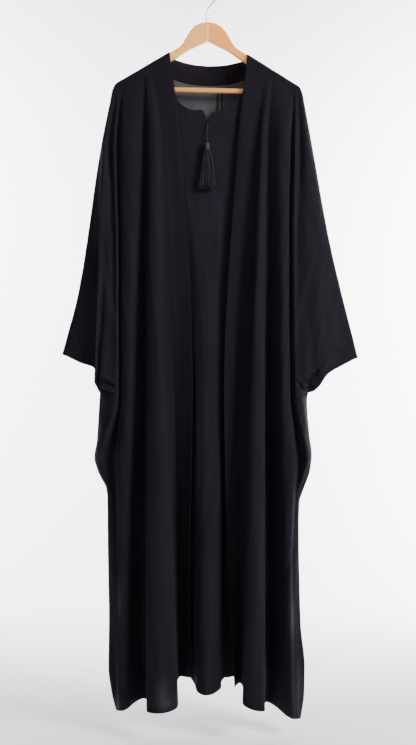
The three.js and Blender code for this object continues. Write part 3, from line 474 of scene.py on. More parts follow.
# name, strips, shoulder, chest, bust, cuff, low, hip, knee, hem
FRONT_LEFT = [
    plain("open edge", 1, (-87, -11), (-60, -17), (-35, -20), (-41, -4), (-37, 4, -1585)),
    plain("edge valley", 1, (-94, -11), (-68, -19), (-46, -16), (-50, 8), (-46, 16, -1583)),
    plain("band middle", 1, (-110, -11), (-85, -19), (-59, -11), (-60, 18), (-56, 26, -1585)),
    plain("band seam", 1, (-128, -11), (-101, -20), (-75, -5), (-70, 24), (-65, 30, -1588)),
    plain("crease", 1, (-132, -11), (-110, -26), (-101, -18), (-83, -18), (-72, -24, -1604)),
    plain("crest inner", 1, (-135, -11), (-116, -31), (-96, -46), (-79, -53), (-68, -62, -1630)),
    plain("crest", 1, (-138, -11), (-124, -32), (-113, -54), (-107, -66), (-106, -76, -1639)),
    plain("turn", 1, (-141, -11), (-133, -29), (-134, -44), (-136, -52), (-135, -60, -1640)),
    plain("back wall", 1, (-143, -11), (-134, -20), (-131, -14), (-131, -14), (-131, -14, -1640)),
    plain("valley", 1, (-146, -11), (-141, -14), (-142, 4), (-147, 14), (-146, 24, -1636)),
    plain("valley outer", 2, (-152, -11), (-150, -20), (-158, -12), (-168, -4), (-164, 6, -1638)),
    plain("strip crest", 2, (-172, -11), (-172, -29), (-176, -32), (-181, -26), (-180, -18, -1645)),
    ("strip edge", 1, (-190, -11), (-194, -25), None, (-194, -26), (-198, -30), None, (-196, -28),
     (-189, -24, -1649)),
    ("deep line", 1, (-196, -11), (-202, -12), (-198, -8), (-197, -3), (-216, -3), (-210, -6),
     (-205, -16), (-196, -20, -1651)),
    ("second strip", 1, (-200, -11), (-211, -23), (-205, -28), (-204, -30), (-244, -18),
     (-218, -10), (-212, -14), (-201, -16, -1652)),
    ("second line", 1, (-204, -11), (-222, -15), (-213, -22), (-216, -30), (-252, -10),
     (-224, -6), (-220, -9), (-205, -9, -1653)),
    ("side seam", 1, (-207, -11), (-229, -19), (-222, -26), (-245.2, 0, -935), (-241, -33, -898)),
    ("sleeve crest", 1, (-210, -11), (-233, -22), (-233, -29), (-250, -24, -921)),
    ("sleeve ridge", 1, (-212, -10), (-236, -21), (-243, -33), (-254, -40, -908)),
    ("behind ridge", 1, (-213.6, -8), (-239, -16), (-247, -22), (-248, -20, -883)),
    ("sleeve middle", 1, (-215, -6), (-241, -11), (-271, -13, -700), (-289, -11, -867)),
    ("near fold", 1, (-216.2, -3), (-243, -6), (-288, -6, -700), (-322, -6, -851.5)),
    ("top fold", 1, (-217, 0), (-244, 0), (-292.5, 0, -700), (-331, 0, -848.5)),
]
SIDE_SEAM_LEFT = [
    (-249.7, -1008), (-252, -1042), (-258, -1082), (-251.5, -1108), (-242.7, -1128), (-231.3, -1150),
    (-228.5, -1171), (-227, -1314), (-224.7, -1450), (-225.9, -1557), (-219, -1614), (-208.8, -1655),
]

# %% Fold lines of the right front
FRONT_RIGHT = [
    plain("open edge", 1, (89, -11), (66, -17), (36, -20), (46, -14), (60, -15, -1599)),
    plain("edge valley", 1, (95, -11), (75, -19), (47, -18), (54, -6), (65, -6, -1596)),
    plain("band middle", 1, (112, -11), (92, -19), (60, -14), (64, 2), (69, 4, -1596)),
    plain("band seam", 1, (131, -11), (107, -20), (77, -9), (76, 8), (74, 14, -1598)),
    plain("crease", 1, (135, -11), (114, -26), (99, -20), (92, -18), (82, -24, -1606)),
    plain("crest inner", 1, (137.5, -11), (118, -31), (94, -47), (86, -54), (78, -60, -1624)),
    plain("crest", 1, (140, -11), (122, -32), (106, -54), (107, -64), (104, -72, -1634)),
    plain("turn", 1, (142.5, -11), (128, -29), (125, -44), (126, -52), (125, -60, -1638)),
    plain("back wall", 1, (144.5, -11), (128, -20), (124, -14), (121, -14), (121, -14, -1640)),
    plain("valley", 1, (147.5, -11), (135, -14), (135, 4), (136, 14), (137, 24, -1645)),
    plain("valley outer", 2, (153, -11), (146, -20), (151, -12), (155, -4), (154, 6, -1649)),
    plain("strip crest", 2, (171, -11), (165, -29), (168, -32), (175, -28), (178, -20, -1663)),
    ("strip edge", 1, (188, -11), (182, -25), (180, -26), (184, -26), (192, -30), (190, -28),
     (184, -30), (190, -24, -1668)),
    ("deep line", 1, (195, -11), (189, -12), (186, -8), (188, -3), (207, -3), (198, -12),
     (191, -18), (197, -16, -1670)),
    ("second strip", 1, (199, -11), (196, -23), (192, -28), (195, -30), (222, -18), (202, -11),
     (197, -13), (203, -11, -1672)),
    ("second line", 1, (203, -11), (207, -15), (201, -22), (208, -29), (229, -10), (205.5, -6),
     (203, -6), (207, -5, -1673)),
    ("side seam", 1, (206, -11), (214, -19), (209, -24), (227, 0, -935), (224, -28, -898)),
    ("sleeve crest", 1, (208, -11), (220, -22), (220, -27), (239, -23, -930)),
    ("sleeve ridge", 1, (209.4, -10), (226, -21), (237, -26), (252, -27, -917)),
    ("behind ridge", 1, (210.8, -8), (231, -16), (252, -22), (269, -24, -893)),
    ("sleeve middle", 1, (212.2, -6), (234, -11), (264, -14), (300, -13, -875)),
    ("near fold", 1, (213.5, -3), (236.5, -6), (272, -6), (331, -6, -859)),
    ("top fold", 1, (214.5, 0), (238, 0), (275, 0), (340, 0, -855.5)),
]
SIDE_SEAM_RIGHT = [
    (224.7, -951), (230.4, -1033), (235.6, -1075), (232, -1109), (213.8, -1162), (207.9, -1181),
    (205.9, -1230), (210, -1455), (219.3, -1557), (217.9, -1618), (210, -1675),
]

# %% [markdown]
# A front's grid rounds the cloth between its fold lines. Below the cuff, only the lines up to the side seam
# go on. The first columns belong to the band, a piece of its own that is sewn on along the band seam.

# %% Grids of the fronts
SHARE = 5


def block(lines, rows, strips):
    """The rounded cloth between fold lines on some rows, as a grid in millimetres."""
    stack = np.stack([line[rows] for line in lines])
    return through(stack, finer(strips, SHARE)).swapaxes(0, 1)


def line_number(table, name):
    """Where a fold line stands in its table."""
    return [entry[0] for entry in table].index(name)


def column_of(table, name):
    """The grid column of a fold line."""
    return SHARE * sum(entry[1] for entry in table[: line_number(table, name)])


def front_grid(table, seam_below):
    """All fold lines down to the cuffs, then those up to the side seam down to the hem. The rest is NaN."""
    seam = line_number(table, "side seam")
    lines = [fold_line(entry, seam_below if k == seam else ()) for k, entry in enumerate(table)]
    strips = [entry[1] for entry in table]
    grid = np.full((ROWS, SHARE * sum(strips[:-1]) + 1, 3), np.nan)
    above, below = slice(0, CUFF_ROW + 1), slice(CUFF_ROW + 1, ROWS)
    grid[above] = block(lines, above, strips[:-1])
    kept = SHARE * sum(strips[:seam]) + 1
    grid[below, :kept] = block(lines[: seam + 1], below, strips[:seam])
    return grid


left_full = front_grid(FRONT_LEFT, SIDE_SEAM_LEFT)
right_full = front_grid(FRONT_RIGHT, SIDE_SEAM_RIGHT)
BAND_COLUMN = column_of(FRONT_LEFT, "band seam")
print("front grids:", left_full.shape, right_full.shape)

# %% [markdown]
# ## The back
#
# The back hangs in soft flutes from the neck, and its sides follow the fronts' sleeves a little behind
# them. Its right half is given from the centre outwards. The left half mirrors it as far as the side seam,
# where each side keeps its own outline.

# %% Fold lines of the back
# strips, top, chest, cuff, knee, hem, from the centre to where the neck ends
BACK_NECK_LINES = [
    (2, (0, 31, -231), (0, 22), (0, 56), (0, 80), (0, 98, -1600)),
    (2, (24, 30.6, -230), (32, 17), (37, 38), (39, 52), (40, 64, -1600)),
    (2, (52, 28.6, -226.5), (66, 22), (75, 62), (79, 84), (82, 106, -1606)),
    (2, (90, 21, -217), (98, 16), (108, 36), (111, 50), (114, 62, -1612)),
]
# The same on the shoulder, with a name first
BACK_SIDE_LINES = [
    ("side crest", 2, (130, 11), (132, 22), (140, 58), (144, 76), (147, 96, -1620)),
    ("outer valley", 1, (158, 11), (158, 16), (168, 34), (168, 45), (168, 54, -1630)),
]
# From the outer valley to the side seam: name, share of the way, depths from chest to hem, hem height
BACK_OUTER_LINES = [
    ("outer crest", 0.45, 21, 44, 48, 52, -1645),
    ("near seam", 0.8, 14, 24, 24, 24, -1653),
]
# The back of each sleeve next to the side seam: name, strips, shoulder, chest, bust, cuff
BACK_SLEEVE_LEFT = [
    ("sleeve crest", 1, (-211, 10), (-234, 16), (-238, 18), (-252, 11, -914)),
    ("cuff corner", 1, (-213.6, 8), (-239, 12), (-250, 17), (-257, 14, -883)),
]
BACK_SLEEVE_RIGHT = [
    ("sleeve crest", 1, (209, 10), (222, 15), (224, 18), (240, 12, -925)),
    ("cuff corner", 1, (211, 8), (231, 12), (250, 16), (266, 16, -889)),
]

# %% Lines and grid of the back
def hind(place, factor, lift=0):
    """A place of the front seen from behind: its depth is turned round and scaled, and its height lifted."""
    if place is None:
        return None
    x, depth, *height = place
    return (x, -factor * depth, *(z + lift for z in height))


def between(inner, outer, share, side):
    """A place that lies a share of the way from an inner to an outer fold line, on one side of the middle."""
    return side * (abs(inner) * (1 - share) + abs(outer) * share)


def back_side_lines(front, seam_below, sleeve, side):
    """The back's fold lines on one side, from the end of the neck outwards."""
    entries = []
    for name, strips, *places in BACK_SIDE_LINES:
        entries.append(list(plain(name, strips, *((side * x, *rest) for x, *rest in places))))
    entries[0][2] = (front[line_number(front, "band seam")][2][0], HANG_DEPTH)
    valley = entries[1]
    seam = front[line_number(front, "side seam")]

    def seam_x(z):
        return float(monotone([z for _, z in seam_below], [x for x, _ in seam_below], z))

    for name, share, *depths, hem_height in BACK_OUTER_LINES:
        outer = [seam[2][0], seam[3][0], seam[5][0], seam_x(HEIGHTS["knee"]), seam_x(hem_height)]
        inner = [place[0] for place in valley[2:] if place]
        reach = [between(a, b, share, side) for a, b in zip(inner, outer)]
        places = list(zip(reach, (HANG_DEPTH, *depths)))
        places[-1] += (hem_height,)
        entries.append(list(plain(name, 1, *places)))
    entries.append([*seam[:2], hind(seam[2], 1), *(hind(place, 0.75) for place in seam[3:])])
    entries.extend(sleeve)
    for name in ("sleeve middle", "near fold", "top fold"):
        entry = front[line_number(front, name)]
        lift = 0 if name == "top fold" else 5
        behind = [hind(place, 0.7, lift) for place in entry[3:]]
        entries.append([*entry[:2], hind(entry[2], 1, lift), *behind])
    lines = [fold_line(entry, seam_below if entry[0] == "side seam" else ()) for entry in entries]
    return lines, [entry[1] for entry in entries]


def back_neck_side(side):
    """The back's fold lines under the neck band on one side, with the neckline's tilt."""
    return [neck_line((side * x, y, z - TILT * side * x), *((side * x, *rest) for x, *rest in places))
            for _, (x, y, z), *places in BACK_NECK_LINES]


def back_grid():
    """The left half's lines, outermost first, then the right half's. Over the arms the neck has no cloth, and
    below the cuffs the sleeves have none."""
    right, right_strips = back_side_lines(FRONT_RIGHT, SIDE_SEAM_RIGHT, BACK_SLEEVE_RIGHT, 1)
    left, left_strips = back_side_lines(FRONT_LEFT, SIDE_SEAM_LEFT, BACK_SLEEVE_LEFT, -1)
    neck_strips = [entry[0] for entry in BACK_NECK_LINES]
    half = [*neck_strips, *right_strips][:-1]
    lines = [*left[::-1], *back_neck_side(-1)[:0:-1], *back_neck_side(1), *right]
    strips = [*half[::-1], *half]
    centre = SHARE * sum(half)
    shoulder = centre + SHARE * sum(neck_strips)
    sleeve_lines = 5
    grid = np.full((ROWS, 2 * centre + 1, 3), np.nan)
    wrap, above, below = slice(0, HANG_ROW), slice(HANG_ROW, CUFF_ROW + 1), slice(CUFF_ROW + 1, ROWS)
    grid[above] = block(lines, above, strips)
    side_count = len(right)
    grid[wrap, shoulder:] = block(lines[-side_count:], wrap, strips[-side_count + 1:])
    grid[wrap, : 2 * centre + 1 - shoulder] = block(lines[:side_count], wrap, strips[: side_count - 1])
    skipped = SHARE * sum(strips[:sleeve_lines])
    inside = slice(sleeve_lines, len(lines) - sleeve_lines)
    body_strips = strips[sleeve_lines: len(strips) - sleeve_lines]
    grid[below, skipped: 2 * centre + 1 - skipped] = block(lines[inside], below, body_strips)
    return grid, centre, shoulder


back, BACK_CENTRE, BACK_SHOULDER = back_grid()
print("back grid:", back.shape)

# %% [markdown]
# ## Numbers for the stitches
#
# The materials need to know how far each point lies from a sewn edge. The distances are walked along the
# grid, down a column to the hem or the cuff.

# %% Distances to edges
FAR = 1.0


def to_last_row(grid, last_row):
    """Distance from each point down its column to the given row, and FAR where the column isn't there."""
    down = lengths_along(grid, 0)
    distance = down[last_row] - down
    return np.where(np.isnan(grid[last_row, :, 0]) | (distance < -1e-6), FAR, np.abs(distance))


def edge_numbers(grid):
    """Distances to the hem and to the cuff. A column that goes on below the cuffs has no cuff."""
    grid = grid * MM
    has_hem = ~np.isnan(grid[-1, :, 0])
    hem = to_last_row(grid, ROWS - 1)
    cuff = np.where(has_hem, FAR, to_last_row(grid, CUFF_ROW))
    return {"from_hem": hem, "from_cuff": cuff, "painted_backlight": np.zeros(grid.shape[:2])}

# %% [markdown]
# ## Creases
#
# Thin cloth also has small creases that start at a fold or a seam and fade out. Each is a soft trough, or a
# ridge where its depth is negative, pressed in between two places in the photograph's plane. They are
# placed one by one, because no two are alike.

# %% Pressing creases into a grid
def press(grid, creases):
    """Moves points along Y by depth times a bell across the crease, exp(-(off / width)^2), times a taper
    along it, the square root of a sine that is zero at both ends."""
    for x1, z1, x2, z2, depth, width in creases:
        start, along = np.array([x1, z1]), np.array([x2 - x1, z2 - z1])
        length = np.hypot(*along)
        away = grid[..., [0, 2]] - start
        share = away @ along / length**2
        off = (away[..., 0] * along[1] - away[..., 1] * along[0]) / length
        taper = np.sqrt(np.sin(np.pi * np.clip(share, 0, 1)))
        grid[..., 1] += depth * taper * np.exp(-((off / width) ** 2))
    return grid


def hang_softly(grid, seed, size):
    """Adds long shallow waves, so that no strip is quite even: sines across the cloth whose phase drifts down
    it, fading in below the shoulder."""
    rng = np.random.default_rng(seed)
    across = lengths_along(grid, 1)
    fall = np.linspace(0, 1, len(grid))[:, None]
    waves = np.zeros(grid.shape[:2])
    for length, share in ((61, 0.45), (37, 0.3), (23, 0.25)):
        phase, drift = rng.uniform(0, 2 * np.pi), rng.uniform(-2.5, 2.5)
        waves += share * np.sin(2 * np.pi * across / length + phase + drift * np.sin(2.2 * fall + phase))
    grid[..., 1] += size * waves * np.clip((fall - 0.07) / 0.2, 0, 1)
    return grid

# %% Closing the side seams
SEAM_COLUMNS = 12


def close_seam(grid, seam, inwards):
    """Below the cuffs, brings a side seam back to depth 0, where front and back meet. The cloth beside it
    comes along, by a share that falls evenly to nothing over some columns."""
    columns = seam + inwards * np.arange(SEAM_COLUMNS)
    share = 1 - np.arange(SEAM_COLUMNS) / SEAM_COLUMNS
    grid[CUFF_ROW:, columns, 1] -= grid[CUFF_ROW:, [seam], 1] * share
    return grid

# %% Creases of the fronts
# x and z of the start, x and z of the end, depth and width, all in millimetres
LEFT_CREASES = [
    (-200, -1267, -178, -1348, 3.4, 5),
    (-150, -330, -176, -470, 1.6, 9),
    (-200, -420, -258, -720, 1.8, 12),
    (-225, -500, -292, -800, 1.5, 10),
    (-268, -700, -262, -880, 2.0, 8),
    (-285, -780, -318, -835, 1.2, 9),
    # The bunched end of the sleeve, and the loose cloth below it
    (-246, -893, -210, -911, -4.0, 4.5),
    (-240, -903, -208, -926, 7.0, 3.6),
    (-244, -914, -207, -931, -5.0, 4.5),
    (-243, -924, -209, -937, 8.0, 3.6),
    (-236, -944, -222, -966, -3.0, 5),
    (-232, -972, -214, -952, 3.0, 5),
    (-199, -955, -220, -1010, -5.0, 6),
    (-217, -1003, -239, -1060, -5.0, 6),
    (-197, -985, -212, -1062, 9.0, 8),
    (-246, -1040, -228, -1096, 3.5, 6),
    (-240, -1090, -222, -1130, -3.0, 6),
    (-170, -1180, -160, -1420, 1.4, 11),
    (-188, -1420, -178, -1600, 1.3, 12),
    (-100, -620, -103, -860, -1.2, 9),
    (-121, -1050, -118, -1330, 1.1, 8),
]
RIGHT_CREASES = [
    (197, -1267, 153, -1408, 3.4, 6),
    (160, -360, 186, -520, 1.6, 9),
    (205, -430, 256, -690, 1.8, 12),
    (228, -520, 300, -810, 1.5, 10),
    (262, -720, 272, -860, 2.0, 8),
    (300, -800, 326, -842, 1.2, 9),
    (296, -848, 268, -884, 2.0, 6),
    # The rolled end of the sleeve, and the loose cloth below it
    (225, -908, 237, -890, 7.0, 3.6),
    (238, -902, 247, -882, 5.0, 3.6),
    (196, -903, 214, -905, -3.0, 4),
    (206, -913, 228, -909, 6.0, 3.4),
    (210, -926, 250, -918, -8.0, 7),
    (201, -910, 217, -932, 9.0, 4.2),
    (200, -938, 232, -941, 8.0, 4.2),
    (226, -954, 205, -994, -4.0, 5),
    (203, -990, 224, -1066, -4.0, 6),
    (213, -975, 203, -1040, 5.0, 6),
    (226, -1050, 227, -1110, -3.0, 6),
    (190, -1010, 206, -1090, 4.0, 7),
    (172, -1120, 166, -1330, 1.4, 11),
    (186, -1450, 176, -1620, 1.3, 12),
    (110, -600, 108, -850, -1.2, 9),
    (108, -1050, 112, -1320, 1.1, 8),
]

# %% The fronts as pieces
CLOTH = 0.7 * MM
FRONT = (0, -1, 0)
BACK = (0, 1, 0)

# Painted backlight, pale spots where light behind shines through: x, z, half width, half height, strength
PAINTED_BACKLIGHT_SPOTS = [
    (-101, -1597, 12, 26, 0.30),
    (-92, -1618, 20, 12, 0.22),
    (-200, -1408, 5, 34, 0.30),
    (-206, -1640, 12, 22, 0.25),
    (131, -1590, 4, 26, 0.35),
    (190, -1440, 5, 40, 0.30),
    (206, -1610, 9, 60, 0.20),
]


def painted_backlight_spots(grid):
    """Painted backlight: a soft pale spot, exp(-r^2), at each place in the table."""
    backlight = np.zeros(grid.shape[:2])
    for x, z, wide, high, strength in PAINTED_BACKLIGHT_SPOTS:
        backlight += strength * np.exp(-(((grid[..., 0] - x) / wide) ** 2) - ((grid[..., 2] - z) / high) ** 2)
    return np.nan_to_num(backlight)


SEAM_COLUMN = column_of(FRONT_LEFT, "side seam")
close_seam(press(hang_softly(left_full, seed=3, size=1.3), LEFT_CREASES), SEAM_COLUMN, -1)
close_seam(press(hang_softly(right_full, seed=8, size=1.3), RIGHT_CREASES), SEAM_COLUMN, -1)
for side, full in (("left", left_full), ("right", right_full)):
    sheet = full[:, BAND_COLUMN:]
    front_numbers = edge_numbers(sheet)
    # Painted backlight: pale spots where light from behind shines through the thin cloth
    front_numbers["painted_backlight"] = painted_backlight_spots(sheet)
    piece = cloth_piece(f"front_{side}", sheet * MM, FRONT, CLOTH, front_numbers)
    piece.data.materials.append(outer_crepe)
    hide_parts(f"outer_front_{side}")

# %% [markdown]
# ## The back piece
#
# The back gets the same soft waves, and creases of its own. Between the neck band and the inner panel's
# neckline, the thin cloth is the only layer, and from inside the light behind it shows through. That light is
# painted as grey into a second material on the inner side of its wall, which the Solidify modifier gives it.

# %% The back as a piece
BACK_CREASES = [
    (-60, -420, -90, -640, 1.6, 11),
    (52, -380, 84, -600, 1.5, 10),
    (-150, -520, -190, -760, 1.8, 12),
    (150, -500, 192, -740, 1.7, 12),
    (-214, -560, -276, -800, 1.6, 10),
    (222, -560, 290, -820, 1.5, 10),
    (-30, -900, -22, -1240, 1.4, 12),
    (70, -980, 60, -1300, 1.6, 12),
    (-160, -1220, -176, -1460, 1.8, 11),
    (172, -1200, 184, -1480, 1.8, 11),
    (-120, -1400, -112, -1610, 1.5, 10),
    (128, -1380, 118, -1600, 1.4, 10),
]
# Painted backlight zone: above this height and this near to the middle, with soft edges of these widths
BACKLIT_FROM, BACKLIT_RISE = -336, 44
BACKLIT_REACH, BACKLIT_SIDE = 118, 30

press(hang_softly(back, seed=12, size=1.2), BACK_CREASES)
seams = np.flatnonzero(~np.isnan(back[-1, :, 0]))[[0, -1]]
close_seam(close_seam(back, seams[0], 1), seams[1], -1)
back_numbers = edge_numbers(back)
# Painted backlight: the back's inner wall is grey here, where light from behind shines through one layer
high_enough = np.clip((back[..., 2] - BACKLIT_FROM) / BACKLIT_RISE, 0, 1)
near_middle = np.clip((BACKLIT_REACH - np.abs(back[..., 0])) / BACKLIT_SIDE, 0, 1)
back_numbers["backlit"] = np.nan_to_num(high_enough * near_middle)
back_piece = cloth_piece("back", back * MM, BACK, CLOTH, back_numbers)
back_piece.data.materials.append(outer_crepe)
back_piece.data.materials.append(painted_backlight_crepe)
back_piece.modifiers["wall"].material_offset = 1
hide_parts("outer_back")

# %% [markdown]
# ## The band
#
# A doubled band finishes the neck and both front edges. It starts at the centre back, stands up round the
# neck, crosses the shoulder seam and runs down to the hem. It is folded lengthwise, so it is thicker than
# the cloth and its free edge is a soft fold. The seam side of its grid lies on the points of the sheets
# that it is sewn to, and round the neck the free edge has its own curve.

# %% The band's grid
# Free edge round the back neck: share of the front edge's distance from the middle, depth, drop
BACK_NECK_EDGE = [(0, 32, 19), (0.4, 30, 17), (0.75, 21, 12.5), (0.94, 13.5, 9)]
# Free edge over the arm, from behind to the crown, a third at a time: depth, drop, share of the distance
EDGE_DEPTH = [0, 6, 10.6, 13.5]
EDGE_DROP = [0, 0.3, 4, 9]
EDGE_REACH = [1, 1, 1, 0.94]
# Places of the band's columns between free edge and seam
BAND_SHARES = [0, 0.17, 0.56, 1]


def band_grid(full, side):
    """Rows run from the centre back over the shoulder to the hem, columns from the free edge to the seam."""
    share = np.interp(finer([1] * 3, SHARE), range(4), BAND_SHARES)[None, :, None]
    crown = full[0, 0]
    turned = np.array([(part * crown[0], depth, SHOULDER["z"] * (1 - part) + crown[2] * part - drop)
                       for part, depth, drop in BACK_NECK_EDGE])
    reach = BACK_SHOULDER - BACK_CENTRE
    columns = BACK_CENTRE + side * np.arange(reach + 1)
    seam = back[HANG_ROW, columns]
    edge = through(turned, np.linspace(0, 3, reach + 1))
    wrap = ROUND_ARM[-2:0:-1]
    arm_seam = back[HANG_ROW - 1: 0: -1, BACK_CENTRE + side * reach]
    arm_edge = np.stack([crown[0] * monotone(WRAP_AT, EDGE_REACH, wrap), monotone(WRAP_AT, EDGE_DEPTH, wrap),
                         crown[2] - monotone(WRAP_AT, EDGE_DROP, wrap)], axis=-1)
    seam, edge = np.concatenate([seam, arm_seam]), np.concatenate([edge, arm_edge])
    behind = edge[:, None] * (1 - share) + seam[:, None] * share
    return np.concatenate([behind, full[:, : BAND_COLUMN + 1]])


BAND = 1.2 * MM
band_sheet = np.concatenate([band_grid(left_full, -1)[::-1], band_grid(right_full, 1)[1:]])
down = lengths_along(band_sheet * MM, 0)
band_numbers = {"from_hem": np.minimum(down, down[-1] - down), "painted_backlight": np.zeros(down.shape)}
band = cloth_piece("band", band_sheet * MM, FRONT, BAND, band_numbers)
band.data.materials.append(band_crepe)
for side in ("left", "right"):
    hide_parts(f"back_band_{side}", f"front_band_{side}_upper", f"front_band_{side}_lower")

# %% [markdown]
# ## The inner panel
#
# A plain panel hangs inside the open front, from the top of the hanger arms. It has a round neckline with a
# short slit and a stitched facing, and hangs in soft folds that the opening shows only in part.

# %% Fold lines of the inner panel
# top, chest, cuff, knee, hem. A top without a height lies under the outer cloth on the hanger arm.
INNER_LINES = [
    # From the left edge to the neckline
    ((-180,), (-166, -8), (-188, 4), (-216, 3), (-203, 4, -1600)),
    ((-150,), (-140, -8), (-160, 12), (-180, 16), (-172, 26, -1598)),
    ((-120,), (-115, -8), (-125, 14), (-135, 26), (-130, 38, -1592)),
    ((-92,), (-92, -8), (-90, 14), (-92, 30), (-92, 44, -1590)),
    # Down the neckline to the slit, and up again
    ((-82, -222), (-78, -8), (-66, 12), (-62, 30), (-64, 46, -1589)),
    ((-77, -255), (-68, -8), (-50, 10), (-44, 24), (-45, 40, -1590)),
    ((-66, -277), (-56, -8), (-38, 4), (-32, 8), (-31, 14, -1600)),
    ((-50, -290.5), (-41, -8), (-28, -5), (-26, -10), (-25, -14, -1608)),
    ((-29, -296), (-25, -8), (-17, -9), (-17, -18), (-16, -25, -1612)),
    ((-12, -295.5), (-11, -8), (-10, -12), (-10, -21), (-9, -29, -1613)),
    ((-1, -322), (-1, -8), (-2, -13), (-2, -22), (-2, -30, -1613)),
    ((10, -300), (9, -8), (8, -12), (7, -21), (7, -28, -1612)),
    ((24, -298), (22, -8), (18, -10), (18, -18), (18, -24, -1608)),
    ((42, -290), (38, -8), (28, -6), (28, -8), (29, -10, -1602)),
    ((58, -278), (54, -8), (40, 6), (31, 12), (30, 16, -1596)),
    ((75, -262), (68, -8), (54, 12), (44, 26), (44, 40, -1590)),
    ((84, -222), (80, -8), (72, 13), (66, 30), (68, 46, -1589)),
    # From the neckline to the right edge
    ((92,), (92, -8), (92, 14), (92, 30), (94, 44, -1590)),
    ((120,), (115, -8), (125, 14), (132, 26), (130, 38, -1593)),
    ((150,), (140, -8), (158, 12), (170, 16), (172, 26, -1600)),
    ((180,), (164, -8), (182, 4), (196, 3), (203, 4, -1600)),
]
INNER_TOP = {"drop": 6.5, "depth": -8.3}
NECKLINE_REACH = 84
INNER_CREASES = [
    (-44, -520, -34, -820, 1.5, 9),
    (36, -480, 30, -760, 1.3, 8),
    (8, -900, 2, -1250, 1.1, 10),
    (-20, -1250, -28, -1560, 1.3, 9),
    (52, -1150, 44, -1480, 1.2, 9),
]


def inner_grid():
    """The inner panel's rows from its top edge down."""
    lines = []
    for (x, *height), *places in INNER_LINES:
        top = height[0] - TILT * x if height else shoulder_height(x) - INNER_TOP["drop"]
        lines.append(neck_line((x, INNER_TOP["depth"], top), *places))
    return block(lines, slice(HANG_ROW, ROWS), [1] * (len(lines) - 1))


inner = press(hang_softly(inner_grid(), seed=21, size=0.8), INNER_CREASES)
walked = lengths_along(inner * MM, 0)
on_neckline = (np.abs(inner[0, :, 0]) < NECKLINE_REACH)[None, :]
inner_numbers = {"from_hem": walked[-1] - walked, "from_neck": np.where(on_neckline, walked, FAR),
                 "painted_backlight": np.zeros(walked.shape)}
inner_piece = cloth_piece("inner_panel", inner * MM, FRONT, CLOTH, inner_numbers)
inner_piece.data.materials.append(inner_crepe)
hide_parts("inner_front")

# %% [markdown]
# ## Round things: hook, cord and threads
#
# The hook, the tassel's cord and its threads are all tubes: a circle carried along a path. All the threads
# have the same number of points, so one call makes them all as arrays.

# %% Tubes along paths
ACROSS = np.array([0, 1.0, 0])


def ring_faces(count, points, sides):
    """Faces of some tubes, each made of rings with the given number of sides, with closed ends."""
    number = np.arange(count * points * sides).reshape(count, points, sides)
    turned = np.roll(number, -1, axis=2)
    walls = np.stack([number[:, :-1], turned[:, :-1], turned[:, 1:], number[:, 1:]], axis=-1).reshape(-1, 4)
    return [*walls.tolist(), *number[:, 0, ::-1].tolist(), *number[:, -1].tolist()]


def tubes(paths, radius, sides):
    """Circles round each point of each path, square to the path. Paths are (count, points, 3) and don't run
    along Y. Returns points and faces."""
    along = np.gradient(paths, axis=1)
    along /= np.linalg.norm(along, axis=-1, keepdims=True)
    first = np.cross(along, ACROSS)
    first /= np.linalg.norm(first, axis=-1, keepdims=True)
    second = np.cross(along, first)
    angle = 2 * np.pi * np.arange(sides) / sides
    circle = first[:, :, None] * np.cos(angle)[:, None] + second[:, :, None] * np.sin(angle)[:, None]
    verts = paths[:, :, None] + circle * radius
    return verts.reshape(-1, 3), ring_faces(*paths.shape[:2], sides)


def closed_mesh(name, verts, faces):
    """A mesh of closed shells, with all faces turned to look outwards."""
    piece = link_mesh(name, verts, faces)
    shell = bmesh.new()
    shell.from_mesh(piece.data)
    bmesh.ops.recalc_face_normals(shell, faces=shell.faces)
    shell.to_mesh(piece.data)
    shell.free()
    return piece

# %% [markdown]
# ## The hanger
#
# The hanger is two beech arms that meet in the middle, with a round bar in their feet. The CAD shape is
# good, so only its finish is added: long grain along each arm, fine pores and a clear satin lacquer. The
# grain is noise stretched along one direction.

# %% The wood group
def make_grain_group():
    """Rings are noise stretched 1:14 along the grain, read as fine bands; pores are a finer, longer noise."""
    group, given, out = new_group("beech grain", {"Place": None}, ["Grain", "Pores"])
    long = mapped(group, given["Place"], Scale=(14, 190, 190))
    rings = noise(group, long, 1.0, 5.0, Roughness=0.62, Distortion=0.6)
    pores = noise(group, mapped(group, given["Place"], Scale=(90, 2400, 2400)), 1.0, 2.0)
    group.links.new(ranged(group, rings, 0.3, 0.72), out["Grain"])
    group.links.new(ranged(group, pores, 0.58, 0.72), out["Pores"])
    return group


PORE_BROWN = (0.3, 0.14, 0.05)


def wood_material(name, slope, early, late):
    """Lacquered beech whose grain runs along an arm that slopes by this many degrees."""
    material, tree, shader = new_material(name)
    turned = mapped(tree, object_place(tree), Rotation=(0, np.radians(slope), 0))
    grain = grouped(tree, grain_group, Place=turned)
    in_pores = math_node(tree, "MULTIPLY", grain["Pores"], 0.35)
    height = math_node(tree, "MULTIPLY", math_node(tree, "SUBTRACT", grain["Grain"], grain["Pores"]), 0.00006)
    give(tree, shader, Base_Color=mixed(tree, in_pores, mixed(tree, grain["Grain"], early, late), PORE_BROWN),
         Roughness=ranged(tree, grain["Grain"], 0.0, 1.0, 0.3, 0.42), Normal=bumped(tree, height, 0.5),
         Coat_Weight=0.2, Coat_Roughness=0.2)
    return material


